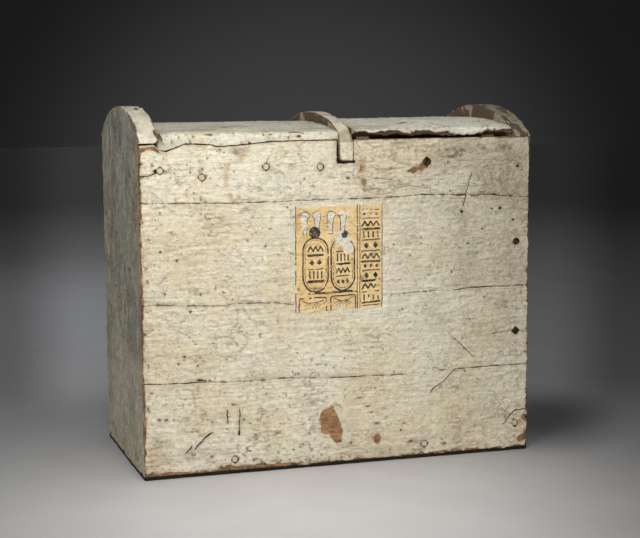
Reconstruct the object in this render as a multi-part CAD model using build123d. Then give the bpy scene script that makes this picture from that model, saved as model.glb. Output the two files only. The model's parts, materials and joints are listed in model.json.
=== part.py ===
from build123d import *
import math
import os

# A wooden box for funerary figurines, with two compartments, each under its own
# vaulted lift-off lid. The end boards and the partition rise above the lids in arches.
# Millimetres. X runs left to right, the front faces -Y, and Z is up.
# The origin is the middle of the footprint, on the surface that the box stands on.

# Overall sizes
box_width = 560.0
box_depth = 284.0
wall_height = 450.0

# Front and back walls, each of four planks edge to edge. The bottom plank takes what
# height the other three leave
wall_thickness = 20.0
front_top_plank = 80.5
front_upper_plank = 134.5
front_lower_plank = 108.0
back_top_plank = 92.0
back_upper_plank = 118.0
back_lower_plank = 126.0

# End boards: thick below the rim, rebated above it so that the lids seat over a ledge
left_end_thickness = 38.0
right_end_thickness = 35.0
end_ledge = 8.0
left_arch_rise = 46.5
right_arch_rise = 43.5
end_joint_offset = 14.0

# Every arch springs at one slope, turns through its shoulder and eases into its crown
arch_spring_angle = 44.0
arch_shoulder_angle = 14.0

# Partition: an arched top board with a tab at each end, over three plain boards
partition_thickness = 21.0
partition_offset = 6.5
partition_arch_rise = 36.5
tab_depth = 29.0
tab_corner_cut = 5.0
notch_clearance = 0.6
arch_board_skirt = 50.0
partition_bottom_board = 130.0
partition_lower_board = 122.0
housing_depth = 4.0

# Floor of three boards, let in above the lower edge of the walls
floor_thickness = 24.0
floor_lift = 8.0
front_floor_board = 80.0
back_floor_board = 83.0

# Rails inside the front and back walls, on which the lid battens rest
rail_height = 30.0
rail_depth = 16.0
rail_drop = 22.0

# Lids: three boards over two battens
lid_edge_height = 12.0
lid_crown_height = 22.5
lid_hollow = 8.5
lid_seat_width = 26.0
lid_edge_radius = 6.0
lid_side_clearance = 1.2
left_lid_gap = 0.4
right_lid_gap = 2.5
lid_side_board = 95.0
batten_thickness = 18.0
batten_inset = 12.0
batten_end_clearance = 3.0
batten_rail_gap = 0.3

# Pegs, dowels and loose tenons
peg_radius = 4.5
peg_bite = 34.0
rail_peg_bite = 12.0
lid_peg_radius = 3.5
lid_peg_bite = 12.0
dowel_radius = 4.0
dowel_length = 40.0
tenon_length = 40.0
tenon_width = 38.0
tenon_thickness = 6.0
joint_clearance = 0.15

# Where the pegs are. Along the box, they are measured from the side faces, the end boards,
# the partition or the middle of a compartment. A rise is a height above the middle of the
# plank or rail that the peg holds
left_corner_peg_inset = 30.0
right_corner_peg_inset = 20.0
left_corner_peg_rises = (-8.5, 0.0, 3.0, 4.0)
right_corner_peg_rises = (-23.5, -7.0, 0.0, -1.0)
left_rail_peg_from_end = 48.0
left_rail_peg_from_middle = 17.0
left_rail_peg_from_partition = 26.0
left_rail_peg_rises = (-9.0, 3.0, 1.0)
right_rail_peg_from_partition = 33.0
right_rail_peg_from_end = 43.0
right_rail_peg_rises = (2.0, -2.0)
floor_pegs_from_left = (60.0, 126.0)
floor_peg_from_middle = -17.0
floor_pegs_from_right = (159.0, 55.0)
end_peg_gap = 8.0
knob_hole_radius = 5.0
knob_hole_from_middle = -7.0
knob_hole_rise = 4.8

# Where the tenons and dowels are
wall_tenons_from_left = (100.0, 210.0)
wall_tenons_from_right = (210.0, 90.0)
end_tenon_heights = (90.0, 215.0, 340.0)
floor_dowels_from_left = (70.0, 175.0)
floor_dowels_from_right = (240.0, 120.0)
partition_dowel_spacing = 130.0

# Derived places
half_width = box_width / 2
half_depth = box_depth / 2
inner_depth = half_depth - wall_thickness
left_inner = -half_width + left_end_thickness
right_inner = half_width - right_end_thickness
partition_left = partition_offset - partition_thickness / 2
partition_right = partition_offset + partition_thickness / 2
floor_top = floor_lift + floor_thickness
floor_middle = floor_lift + floor_thickness / 2
rail_top = wall_height - rail_drop
rail_middle = rail_top - rail_height / 2
arch_board_bottom = wall_height - arch_board_skirt
left_middle = (left_inner + partition_left) / 2
right_middle = (partition_right + right_inner) / 2


def block(x0, x1, y0, y1, z0, z1):
    """A box between two corners."""
    size = Box(x1 - x0, y1 - y0, z1 - z0)
    return Pos((x0 + x1) / 2, (y0 + y1) / 2, (z0 + z1) / 2) * size


def rod_y(x, z, y0, y1, radius):
    """A round bar along Y."""
    bar = Cylinder(radius, y1 - y0)
    return Pos(x, (y0 + y1) / 2, z) * Rot(90, 0, 0) * bar


def rod_x(y, z, x0, x1, radius):
    """A round bar along X."""
    bar = Cylinder(radius, x1 - x0)
    return Pos((x0 + x1) / 2, y, z) * Rot(0, 90, 0) * bar


def rod_z(x, y, z0, z1, radius):
    """A round bar along Z."""
    return Pos(x, y, (z0 + z1) / 2) * Cylinder(radius, z1 - z0)


def group(solids):
    """Separate solids that share one node."""
    return Compound(children=list(solids))


def cut_all(body, tools):
    """The body less every tool that reaches it."""
    for tool in tools:
        body = body - tool
    return body


def write(name, shape):
    """Saves one node."""
    export_step(shape, f"parts/{name}.step")


def extrude_x(outline, x0, x1):
    """A solid whose section across X is the outline, given in Y and Z."""
    face = make_face(outline)
    return extrude(Plane.YZ.offset(x0) * face, amount=x1 - x0)


def arch_edges(half_span, rise, base):
    """The curve of an arch in three tangent arcs, from the left springing to the right."""
    spring = math.radians(arch_spring_angle)
    turn = math.radians(arch_shoulder_angle)
    across = math.sin(spring) - math.sin(turn)
    upward = math.cos(turn) - math.cos(spring)
    crown_drop = 1 - math.cos(turn)
    determinant = across * crown_drop - upward * math.sin(turn)
    shoulder_radius = (half_span * crown_drop - rise * math.sin(turn)) / determinant
    crown_radius = (across * rise - upward * half_span) / determinant

    def crown_point(angle):
        return (
            crown_radius * math.sin(angle),
            base + rise - crown_radius * (1 - math.cos(angle)),
        )

    centre_y = (crown_radius - shoulder_radius) * math.sin(turn)
    centre_z = base + rise - crown_radius + (crown_radius - shoulder_radius) * math.cos(turn)

    def shoulder_point(angle, side):
        return (
            side * (centre_y + shoulder_radius * math.sin(angle)),
            centre_z + shoulder_radius * math.cos(angle),
        )

    middle = (spring + turn) / 2
    left = ThreePointArc((-half_span, base), shoulder_point(middle, -1), crown_point(-turn))
    crown = ThreePointArc(crown_point(-turn), (0, base + rise), crown_point(turn))
    right = ThreePointArc(crown_point(turn), shoulder_point(middle, 1), (half_span, base))
    return left + crown + right


def arch_solid(x0, x1, rise):
    """The arched part that stands above the rim, over the whole depth of the box."""
    curve = arch_edges(half_depth, rise, wall_height)
    base = Line((half_depth, wall_height), (-half_depth, wall_height))
    return extrude_x(curve + base, x0, x1)


def plank_heights(lower, upper, top):
    """The lower and upper edge of each of a wall's four planks, from the bottom up."""
    top_joint = wall_height - top
    middle_joint = top_joint - upper
    edges = [0.0, middle_joint - lower, middle_joint, top_joint, wall_height]
    return list(zip(edges[:-1], edges[1:]))


def along_width(from_left, from_right):
    """Distances from the two side faces, as X."""
    left = [-half_width + distance for distance in from_left]
    right = [half_width - distance for distance in from_right]
    return left + right


# Pegs. Each is made with an allowance, which is zero for the peg and the joint's
# clearance for its hole.


def corner_pegs(front, planks, allowance):
    """Pegs through a wall into the edges of the end boards, one for each plank and end."""
    pegs = []
    reach = wall_thickness + peg_bite + allowance
    for index, (low, high) in enumerate(planks):
        middle = (low + high) / 2
        left_rise = left_corner_peg_rises[index] if front else 0.0
        right_rise = right_corner_peg_rises[index] if front else 0.0
        places = (
            (-half_width + left_corner_peg_inset, middle + left_rise),
            (half_width - right_corner_peg_inset, middle + right_rise),
        )
        for x, z in places:
            if front:
                pegs.append(rod_y(x, z, -half_depth, -half_depth + reach, peg_radius + allowance))
            else:
                pegs.append(rod_y(x, z, half_depth - reach, half_depth, peg_radius + allowance))
    return pegs


def floor_pegs(front, allowance):
    """Pegs through the lowest plank of a wall into the edge of the floor."""
    pegs = []
    reach = wall_thickness + peg_bite + allowance
    places = along_width(floor_pegs_from_left, floor_pegs_from_right) + [floor_peg_from_middle]
    for x in places:
        if front:
            pegs.append(
                rod_y(x, floor_middle, -half_depth, -half_depth + reach, peg_radius + allowance)
            )
        else:
            pegs.append(
                rod_y(x, floor_middle, half_depth - reach, half_depth, peg_radius + allowance)
            )
    return pegs


def rail_pegs(front, allowance):
    """Pegs through the top plank of a wall into the lid rails."""
    pegs = []
    reach = wall_thickness + rail_peg_bite + allowance
    left_places = (
        left_inner + left_rail_peg_from_end,
        left_middle + left_rail_peg_from_middle,
        partition_left - left_rail_peg_from_partition,
    )
    right_places = (
        partition_right + right_rail_peg_from_partition,
        right_inner - right_rail_peg_from_end,
    )
    places = left_places + right_places
    for x, rise in zip(places, left_rail_peg_rises + right_rail_peg_rises):
        z = rail_middle + rise
        if front:
            pegs.append(rod_y(x, z, -half_depth, -half_depth + reach, peg_radius + allowance))
        else:
            pegs.append(rod_y(x, z, half_depth - reach, half_depth, peg_radius + allowance))
    return pegs


def end_floor_pegs(allowance):
    """Pegs through the end boards into the ends of the floor boards."""
    pegs = []
    outer_place = inner_depth - peg_bite - end_peg_gap
    for y in (-outer_place, 0.0, outer_place):
        left_reach = left_inner + peg_bite + allowance
        right_reach = right_inner - peg_bite - allowance
        pegs.append(rod_x(y, floor_middle, -half_width, left_reach, peg_radius + allowance))
        pegs.append(rod_x(y, floor_middle, right_reach, half_width, peg_radius + allowance))
    return pegs


# Loose tenons and dowels, hidden in the joints between boards


def wall_tenons(front, planks, allowance):
    """Flat loose tenons across the joints between a wall's planks."""
    middle = half_depth - wall_thickness / 2
    y = -middle if front else middle
    half_y = tenon_thickness / 2 + allowance
    half_x = tenon_width / 2 + allowance
    half_z = tenon_length / 2 + allowance
    tenons = []
    for low, _ in planks[1:]:
        for x in along_width(wall_tenons_from_left, wall_tenons_from_right):
            tenons.append(
                block(x - half_x, x + half_x, y - half_y, y + half_y, low - half_z, low + half_z)
            )
    return tenons


def end_tenons(left, allowance):
    """Flat loose tenons across the joint between the two boards of an end."""
    thickness = left_end_thickness if left else right_end_thickness
    middle = half_width - thickness / 2
    x = -middle if left else middle
    half_x = tenon_thickness / 2 + allowance
    half_y = tenon_length / 2 + allowance
    half_z = tenon_width / 2 + allowance
    y = end_joint_offset
    tenons = []
    for z in end_tenon_heights:
        tenons.append(block(x - half_x, x + half_x, y - half_y, y + half_y, z - half_z, z + half_z))
    return tenons


def floor_joints():
    """The two lines along which the floor boards meet."""
    return (-inner_depth + front_floor_board, inner_depth - back_floor_board)


def floor_dowels(allowance):
    """Round dowels across the joints between the floor boards."""
    reach = dowel_length / 2 + allowance
    dowels = []
    for y in floor_joints():
        for x in along_width(floor_dowels_from_left, floor_dowels_from_right):
            dowels.append(rod_y(x, floor_middle, y - reach, y + reach, dowel_radius + allowance))
    return dowels


def partition_heights():
    """The lower and upper edge of each plain board of the partition."""
    first = floor_top + partition_bottom_board
    second = first + partition_lower_board
    return [(floor_top, first), (first, second), (second, arch_board_bottom)]


def partition_dowels(allowance):
    """Upright dowels between the boards of the partition."""
    reach = dowel_length / 2 + allowance
    dowels = []
    for _, high in partition_heights():
        for y in (-partition_dowel_spacing / 2, partition_dowel_spacing / 2):
            dowels.append(
                rod_z(partition_offset, y, high - reach, high + reach, dowel_radius + allowance)
            )
    return dowels


# Boards


def wall_planks(front, planks):
    """One wall's planks, cut for the partition, the tab, the tenons and the pegs."""
    outer, inner = (-half_depth, -inner_depth) if front else (inner_depth, half_depth)
    near, far = min(outer, inner), max(outer, inner)
    groove_left = partition_left - joint_clearance
    groove_right = partition_right + joint_clearance
    if front:
        groove = block(
            groove_left, groove_right, far - housing_depth, far, floor_top, wall_height
        )
    else:
        groove = block(
            groove_left, groove_right, near, near + housing_depth, floor_top, wall_height
        )
    notch = block(
        partition_left - notch_clearance,
        partition_right + notch_clearance,
        near,
        far,
        wall_height - tab_depth - notch_clearance,
        wall_height,
    )
    tools = [groove, notch]
    tools += wall_tenons(front, planks, joint_clearance)
    tools += corner_pegs(front, planks, joint_clearance)
    tools += floor_pegs(front, joint_clearance)
    tools += rail_pegs(front, joint_clearance)
    if front:
        hole_x = right_middle + knob_hole_from_middle
        tools.append(rod_y(hole_x, rail_middle + knob_hole_rise, near, far, knob_hole_radius))
    boards = []
    for low, high in planks:
        board = block(-half_width, half_width, near, far, low, high)
        boards.append(cut_all(board, tools))
    return boards


def end_boards(left, front_planks, back_planks):
    """One end in two upright boards: square between the walls, arched above the rim."""
    if left:
        outer, inner = -half_width, left_inner
        arch = arch_solid(outer, inner - end_ledge, left_arch_rise)
    else:
        outer, inner = half_width, right_inner
        arch = arch_solid(inner + end_ledge, outer, right_arch_rise)
    low_x, high_x = min(outer, inner), max(outer, inner)
    whole = block(low_x, high_x, -inner_depth, inner_depth, 0, wall_height) + arch
    tools = end_tenons(left, joint_clearance)
    tools += corner_pegs(True, front_planks, joint_clearance)
    tools += corner_pegs(False, back_planks, joint_clearance)
    tools += end_floor_pegs(joint_clearance)
    whole = cut_all(whole, tools)
    tall = wall_height * 2
    front_half = block(low_x, high_x, -half_depth, end_joint_offset, 0, tall)
    back_half = block(low_x, high_x, end_joint_offset, half_depth, 0, tall)
    return whole & front_half, whole & back_half


def arched_partition_board():
    """The partition's top board: an arch over the rim, and a tab in each wall's notch."""
    arch = arch_solid(partition_left, partition_right, partition_arch_rise)
    tab_bottom = wall_height - tab_depth
    bar = block(partition_left, partition_right, -half_depth, half_depth, tab_bottom, wall_height)
    reach = inner_depth + housing_depth - joint_clearance
    skirt = block(partition_left, partition_right, -reach, reach, arch_board_bottom, tab_bottom)
    corner = Polyline(
        (partition_left, tab_bottom),
        (partition_left + tab_corner_cut, tab_bottom),
        (partition_left, tab_bottom + tab_corner_cut * 1.5),
        close=True,
    )
    wedge = extrude(Plane.XZ * make_face(corner), amount=half_depth * 2, both=True)
    tab_only = block(
        partition_left, partition_right, -half_depth, -reach, tab_bottom, wall_height
    )
    board = arch + bar + skirt - (wedge & tab_only)
    return cut_all(board, partition_dowels(joint_clearance))


def plain_partition_boards():
    """The three lower boards of the partition, housed in both walls."""
    reach = inner_depth + housing_depth - joint_clearance
    boards = []
    for low, high in partition_heights():
        board = block(partition_left, partition_right, -reach, reach, low, high)
        boards.append(cut_all(board, partition_dowels(joint_clearance)))
    return boards


def floor_boards():
    """The front, middle and back floor boards."""
    first, second = floor_joints()
    edges = ((-inner_depth, first), (first, second), (second, inner_depth))
    tools = floor_dowels(joint_clearance)
    tools += floor_pegs(True, joint_clearance)
    tools += floor_pegs(False, joint_clearance)
    tools += end_floor_pegs(joint_clearance)
    boards = []
    for near, far in edges:
        board = block(left_inner, right_inner, near, far, floor_lift, floor_top)
        boards.append(cut_all(board, tools))
    return boards


def lid_rail(left, front):
    """One rail along the inside of a wall, from an end board to the partition."""
    x0, x1 = (left_inner, partition_left) if left else (partition_right, right_inner)
    if front:
        rail = block(x0, x1, -inner_depth, -inner_depth + rail_depth, rail_top - rail_height, rail_top)
    else:
        rail = block(x0, x1, inner_depth - rail_depth, inner_depth, rail_top - rail_height, rail_top)
    return cut_all(rail, rail_pegs(front, joint_clearance))


# Lids


def lid_vault(x0, x1, gap):
    """The whole vaulted top of a lid, with its hollow underside."""
    base = wall_height + gap
    edge_top = base + lid_edge_height
    crown = base + lid_crown_height
    hollow_half = half_depth - lid_seat_width
    top = ThreePointArc((-half_depth, edge_top), (0, crown), (half_depth, edge_top))
    right_side = Polyline((half_depth, edge_top), (half_depth, base), (hollow_half, base))
    under = ThreePointArc((hollow_half, base), (0, base + lid_hollow), (-hollow_half, base))
    left_side = Polyline((-hollow_half, base), (-half_depth, base), (-half_depth, edge_top))
    vault = extrude_x(top + right_side + under + left_side, x0, x1)
    corners = vault.edges().filter_by(Axis.X).group_by(Axis.Y)
    outer = [group.sort_by(Axis.Z)[-1] for group in (corners[0], corners[-1])]
    return fillet(outer, lid_edge_radius)


def lid_block(x0, x1, gap):
    """Everything from the battens' lower edge up to the vault, to trim battens and pegs."""
    base = rail_top + batten_rail_gap
    edge_top = wall_height + gap + lid_edge_height
    crown = wall_height + gap + lid_crown_height
    top = ThreePointArc((-half_depth, edge_top), (0, crown), (half_depth, edge_top))
    sides = Polyline(
        (half_depth, edge_top), (half_depth, base), (-half_depth, base), (-half_depth, edge_top)
    )
    return extrude_x(top + sides, x0, x1)


def lid_peg_rods(batten_middles, gap, allowance):
    """One upright peg through each board into each batten."""
    bottom = wall_height + gap - lid_peg_bite - allowance
    top = wall_height + gap + lid_crown_height * 2
    side = half_depth - lid_side_board / 2
    rods = []
    for x in batten_middles:
        for y in (-side, 0.0, side):
            rods.append(rod_z(x, y, bottom, top, lid_peg_radius + allowance))
    return rods


def make_lid(left):
    """The nodes of one lid, by name."""
    if left:
        side, gap = "left", left_lid_gap
        x0 = left_inner - end_ledge + lid_side_clearance
        x1 = partition_left - lid_side_clearance
        outer_batten = left_inner + batten_inset
        inner_batten = partition_left - batten_inset - batten_thickness
    else:
        side, gap = "right", right_lid_gap
        x0 = partition_right + lid_side_clearance
        x1 = right_inner + end_ledge - lid_side_clearance
        outer_batten = right_inner - batten_inset - batten_thickness
        inner_batten = partition_right + batten_inset
    batten_lefts = (outer_batten, inner_batten)
    middles = [start + batten_thickness / 2 for start in batten_lefts]
    vault = lid_vault(x0, x1, gap)
    envelope = lid_block(x0, x1, gap)
    holes = lid_peg_rods(middles, gap, joint_clearance)
    tall = wall_height * 2
    joint = half_depth - lid_side_board
    edges = ((-half_depth, -joint), (-joint, joint), (joint, half_depth))
    nodes = {}
    for name, (near, far) in zip(("front_board", "crown_board", "back_board"), edges):
        strip = vault & block(x0, x1, near, far, 0, tall)
        nodes[f"{side}_lid_{name}"] = cut_all(strip, holes)
    reach = inner_depth - batten_end_clearance
    base = rail_top + batten_rail_gap
    for name, start in zip(("outer_batten", "inner_batten"), batten_lefts):
        bar = block(start, start + batten_thickness, -reach, reach, base, tall)
        bar = (bar & envelope) - vault
        nodes[f"{side}_lid_{name}"] = cut_all(bar, holes)
    pegs = [rod & envelope for rod in lid_peg_rods(middles, gap, 0.0)]
    nodes[f"{side}_lid_pegs"] = group(pegs)
    return nodes


def make_walls():
    """The planks, tenons and pegs of the front and back walls."""
    names = ("bottom", "lower", "upper", "top")
    front_planks = plank_heights(front_lower_plank, front_upper_plank, front_top_plank)
    back_planks = plank_heights(back_lower_plank, back_upper_plank, back_top_plank)
    nodes = {}
    for side, front, planks in (("front", True, front_planks), ("back", False, back_planks)):
        for name, board in zip(names, wall_planks(front, planks)):
            nodes[f"{side}_{name}_plank"] = board
        nodes[f"{side}_wall_tenons"] = group(wall_tenons(front, planks, 0.0))
        nodes[f"{side}_corner_pegs"] = group(corner_pegs(front, planks, 0.0))
        nodes[f"{side}_floor_pegs"] = group(floor_pegs(front, 0.0))
        nodes[f"{side}_rail_pegs"] = group(rail_pegs(front, 0.0))
    for side, left in (("left", True), ("right", False)):
        front_board, back_board = end_boards(left, front_planks, back_planks)
        nodes[f"{side}_end_front_board"] = front_board
        nodes[f"{side}_end_back_board"] = back_board
        nodes[f"{side}_end_tenons"] = group(end_tenons(left, 0.0))
    nodes["end_floor_pegs"] = group(end_floor_pegs(0.0))
    return nodes


def make_inside():
    """The partition, the floor and the lid rails."""
    nodes = {"partition_arch_board": arched_partition_board()}
    names = ("bottom", "lower", "upper")
    for name, board in zip(names, plain_partition_boards()):
        nodes[f"partition_{name}_board"] = board
    nodes["partition_dowels"] = group(partition_dowels(0.0))
    for name, board in zip(("front", "middle", "back"), floor_boards()):
        nodes[f"floor_{name}_board"] = board
    nodes["floor_dowels"] = group(floor_dowels(0.0))
    for side, left in (("left", True), ("right", False)):
        for wall, front in (("front", True), ("back", False)):
            nodes[f"{side}_{wall}_lid_rail"] = lid_rail(left, front)
    return nodes


def main():
    """Builds every node and writes one file for each."""
    os.makedirs("parts", exist_ok=True)
    nodes = make_walls() | make_inside() | make_lid(True) | make_lid(False)
    for name, shape in nodes.items():
        write(name, shape)


main()
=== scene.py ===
import json
import math

import bpy
import numpy as np
from mathutils import Matrix, Vector


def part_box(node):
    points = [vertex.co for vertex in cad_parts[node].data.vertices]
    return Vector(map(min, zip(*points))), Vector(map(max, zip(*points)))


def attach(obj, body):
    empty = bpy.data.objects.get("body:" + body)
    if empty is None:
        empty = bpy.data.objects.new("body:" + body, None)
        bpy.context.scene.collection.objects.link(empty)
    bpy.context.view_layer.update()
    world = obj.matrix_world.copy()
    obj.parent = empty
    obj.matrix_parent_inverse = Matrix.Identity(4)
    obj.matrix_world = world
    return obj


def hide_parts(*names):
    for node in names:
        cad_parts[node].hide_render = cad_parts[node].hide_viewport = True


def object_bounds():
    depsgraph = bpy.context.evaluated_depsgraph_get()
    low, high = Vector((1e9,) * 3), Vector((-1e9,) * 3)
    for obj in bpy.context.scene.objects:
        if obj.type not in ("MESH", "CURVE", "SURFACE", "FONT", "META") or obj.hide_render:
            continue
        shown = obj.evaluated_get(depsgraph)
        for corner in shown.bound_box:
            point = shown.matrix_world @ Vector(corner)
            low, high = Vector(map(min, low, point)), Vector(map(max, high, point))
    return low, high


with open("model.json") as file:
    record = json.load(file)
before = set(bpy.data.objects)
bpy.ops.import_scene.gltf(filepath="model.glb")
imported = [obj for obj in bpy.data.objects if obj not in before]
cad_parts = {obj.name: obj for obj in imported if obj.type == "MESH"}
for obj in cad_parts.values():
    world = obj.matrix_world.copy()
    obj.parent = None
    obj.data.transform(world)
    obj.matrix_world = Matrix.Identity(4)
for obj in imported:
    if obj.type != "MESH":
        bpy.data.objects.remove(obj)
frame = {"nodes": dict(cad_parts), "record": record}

# A wooden box with two compartments, coated with gesso that has cracked, chipped and worn.
# Every board is a block of small cells. Its skin is drawn out to the board's real form by
# maps that depend on the place alone, so that boards that meet stay together.
# Lengths are millimetres here, and become metres when a mesh is made.

CAD_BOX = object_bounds()
HALF_X = CAD_BOX[1].x * 1000
HALF_Y = CAD_BOX[1].y * 1000
RIM = 450.0
# How thick a wall is, the lower edge of the partition's tabs, and the gap round them
WALL = 20
TAB_BOTTOM = RIM - 29
CLEARANCE = 0.6
# The radii of a wall peg's hole, of a wall peg and of a lid's peg
PEG_HOLE, WALL_PEG, LID_PEG = 4.85, 4.45, 3.4
# The least depth of the coat behind a true face, how far behind the face its unevenness fades
# out, and how far behind it points get a coat of their own
SHALLOWEST = 0.06
BEND = 6.0
FACE_DEPTH = 8
# A distance beyond anything on the box
FAR = 1000.0
# Extra edges of cells near an arris, and the size of the cells
ARRIS_MARKS = (0.5, 1.1, 1.9, 3.0, 4.4)
EDGE_MARKS = (0.6, 1.4, 2.6, 4.2, 6)
COARSE = 1.0
FRONT_PITCH = 1.35 * COARSE
BACK_PITCH = 2.9 * COARSE
END_PITCH = 2.1 * COARSE
LID_PITCH = 1.75 * COARSE
ARCH_PITCH = 1.7 * COARSE
PANEL_PITCH = 0.65


def extent(node):
    """Lowest and highest corner of a CAD node at rest."""
    low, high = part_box(node)
    return np.array(low) * 1000, np.array(high) * 1000


# Noise


def corner_value(i, j, k, seed):
    """A fixed number from -1 to 1 for a corner of the unit lattice: its whole numbers and the
    seed times large odd numbers, then shifted, crossed and multiplied again."""
    n = i * np.uint32(374761393) + j * np.uint32(668265263) + k * np.uint32(3266489917)
    n = n + np.uint32(seed * 2654435761 % 2**32)
    n = (n ^ (n >> np.uint32(15))) * np.uint32(2246822519)
    n = (n ^ (n >> np.uint32(13))) * np.uint32(3266489917)
    return (n ^ (n >> np.uint32(16))).astype(float) / 2147483647.5 - 1.0


def value_noise(places, seed):
    """The values of a cell's eight corners, eased across it by 6t^5 - 15t^4 + 10t^3."""
    cell = np.floor(places)
    t = places - cell
    ease = t**3 * (t * (t * 6 - 15) + 10)
    corner = cell.astype(np.int64).astype(np.uint32)
    total = np.zeros(len(places))
    for number in range(8):
        step = [number >> 2 & 1, number >> 1 & 1, number & 1]
        share = np.ones(len(places))
        for axis in range(3):
            share = share * (ease[:, axis] if step[axis] else 1 - ease[:, axis])
        i, j, k = (corner[:, axis] + np.uint32(step[axis]) for axis in range(3))
        total += share * corner_value(i, j, k, seed)
    return total


def rough(places, size, seed, octaves=1):
    """Noise from -1 to 1 with features of the given size, or of one size for each axis.
    Each further octave is half as wide and half as strong."""
    scaled = places / np.asarray(size, float) + 3.17 * seed
    total, strength, reach = 0.0, 1.0, 0.0
    for octave in range(octaves):
        total = total + strength * value_noise(scaled * 2**octave, seed + 50 * octave)
        reach += strength
        strength /= 2
    return total / reach


# Distances on a flat face


def line_distance(u, v, path):
    """Distance from a line of straight runs, positive on its left, and how far along the
    line the nearest point is, from 0 to 1."""
    path = np.asarray(path, float)
    runs = path[1:] - path[:-1]
    lengths = np.hypot(runs[:, 0], runs[:, 1])
    starts = np.cumsum(lengths) - lengths
    gap, side, share = np.full(u.shape, FAR), np.ones(u.shape), np.zeros(u.shape)
    for (a, b), (du, dv), length, start in zip(path, runs, lengths, starts):
        t = np.clip(((u - a) * du + (v - b) * dv) / length**2, 0, 1)
        off_u, off_v = u - a - t * du, v - b - t * dv
        here = np.hypot(off_u, off_v)
        closer = here < gap
        gap = np.where(closer, here, gap)
        side = np.where(closer, np.sign(du * off_v - dv * off_u), side)
        share = np.where(closer, (start + t * length) / lengths.sum(), share)
    return gap * side, share


def area_distance(u, v, outline):
    """Distance from a closed outline, positive inside, where a line to one side crosses the
    outline an odd number of times."""
    ring = np.asarray(list(outline) + [outline[0]], float)
    gap, _ = line_distance(u, v, ring)
    inside = np.zeros(u.shape, bool)
    for (a, b), (c, d) in zip(ring, ring[1:]):
        if b != d:
            inside ^= ((b > v) != (d > v)) & (u < (c - a) * (v - b) / (d - b) + a)
    return np.where(inside, np.abs(gap), -np.abs(gap))


def follow(x, path):
    """The height of a line of straight runs at x."""
    path = np.asarray(path, float)
    return np.interp(x, path[:, 0], path[:, 1])


def step_up(value, low, high):
    """0 below low and 1 above high, eased between by 3t^2 - 2t^3."""
    t = np.clip((value - low) / (high - low), 0, 1)
    return t * t * (3 - 2 * t)


def fade(gap, reach):
    """1 where the gap is nothing, falling evenly to 0 at the reach."""
    return np.clip(1 - gap / reach, 0, 1)


def close_to(gap, reach):
    """1 where the gap is nothing, and falling to a third for every reach, by e^-gap/reach."""
    return np.exp(-gap / reach)


def line_at(x=0.0, y=0.0, z=0.0):
    """Points from a coordinate for each axis, which is an array or one number for all."""
    return np.stack(np.broadcast_arrays(x, y, z), 1)


# Blocks of cells


def planes(low, high, pitch, marks=()):
    """Edges of cells from low to high, evenly spaced, with every mark an edge of its own."""
    marks = np.array([low, high] + [mark for mark in marks if low < mark < high])
    even = np.linspace(low, high, max(1, round((high - low) / pitch)) + 1)
    gap = np.abs(even[:, None] - marks).min(axis=1)
    return np.unique(np.concatenate([even[gap > 0.35 * pitch], marks]))


def middles(edges):
    """The middle of each cell."""
    return (edges[1:] + edges[:-1]) / 2


def skin(xs, ys, zs, keep):
    """The closed skin of the kept cells: a square wherever a kept cell has no neighbour, with
    its corners shared and in the order that makes it face outwards."""
    shape = np.array(keep.shape) + 1
    strides = np.array([shape[1] * shape[2], shape[2], 1])
    solid = np.pad(keep, 1)
    squares = []
    for axis in range(3):
        first, second = strides[(axis + 1) % 3], strides[(axis + 2) % 3]
        for side in (0, 1):
            bare = solid & ~np.roll(solid, 1 - 2 * side, axis)
            cells = np.argwhere(bare[1:-1, 1:-1, 1:-1])
            ring = np.array([0, first, first + second, second])
            ring = ring if side else ring[::-1]
            squares.append((cells @ strides + side * strides[axis])[:, None] + ring)
    corners, faces = np.unique(np.concatenate(squares), return_inverse=True)
    i, j, k = np.unravel_index(corners, shape)
    return np.stack([xs[i], ys[j], zs[k]], 1), faces.reshape(-1, 4)


def round_off(gap_a, gap_b, radius):
    """Depths behind two faces that meet, after their arris is rounded: what reaches into the
    corner is shortened until its length is what its larger part was."""
    a, b = np.maximum(radius - gap_a, 0), np.maximum(radius - gap_b, 0)
    scale = np.maximum(a, b) / np.maximum(np.hypot(a, b), 1e-9)
    scale = np.where((a > 0) & (b > 0), scale, 1.0)
    return gap_a + a * (1 - scale), gap_b + b * (1 - scale)


def bore(points, axes, holes):
    """Draws the squares round each hole into circles: a square ring becomes the circle that
    touches its sides, and this fades out at 2.4 times the radius."""
    points = points.copy()
    a, b = axes
    for centre_a, centre_b, radius in holes:
        u = (points[:, a] - centre_a) / radius
        v = (points[:, b] - centre_b) / radius
        ring = np.maximum(np.abs(u), np.abs(v))
        length = np.maximum(np.hypot(u, v), 1e-9)
        share = np.clip((2.4 - ring) / 1.4, 0, 1)
        points[:, a] = centre_a + radius * u * (1 + share * (ring / length - 1))
        points[:, b] = centre_b + radius * v * (1 + share * (ring / length - 1))
    return points


def cut_holes(keep, mid_a, mid_b, axes, holes):
    """Takes the cells of each hole's square away, through the whole block."""
    shape_a, shape_b = [1, 1, 1], [1, 1, 1]
    shape_a[axes[0]], shape_b[axes[1]] = -1, -1
    a, b = mid_a.reshape(shape_a), mid_b.reshape(shape_b)
    for centre_a, centre_b, radius in holes:
        keep &= ~((np.abs(a - centre_a) < radius) & (np.abs(b - centre_b) < radius))
    return keep


def mark_holes(holes, marks_a, marks_b):
    """Adds the edges that each hole needs on both axes: its own, and a ring round it."""
    for centre_a, centre_b, radius in holes:
        for centre, marks in ((centre_a, marks_a), (centre_b, marks_b)):
            marks.extend(centre + radius * share for share in (-1.3, -1, 1, 1.3))


def inward(low, high, gaps):
    """Marks at the given gaps inward from both ends."""
    return [place for gap in gaps for place in (low + gap, high - gap)]


# Making a piece


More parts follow.
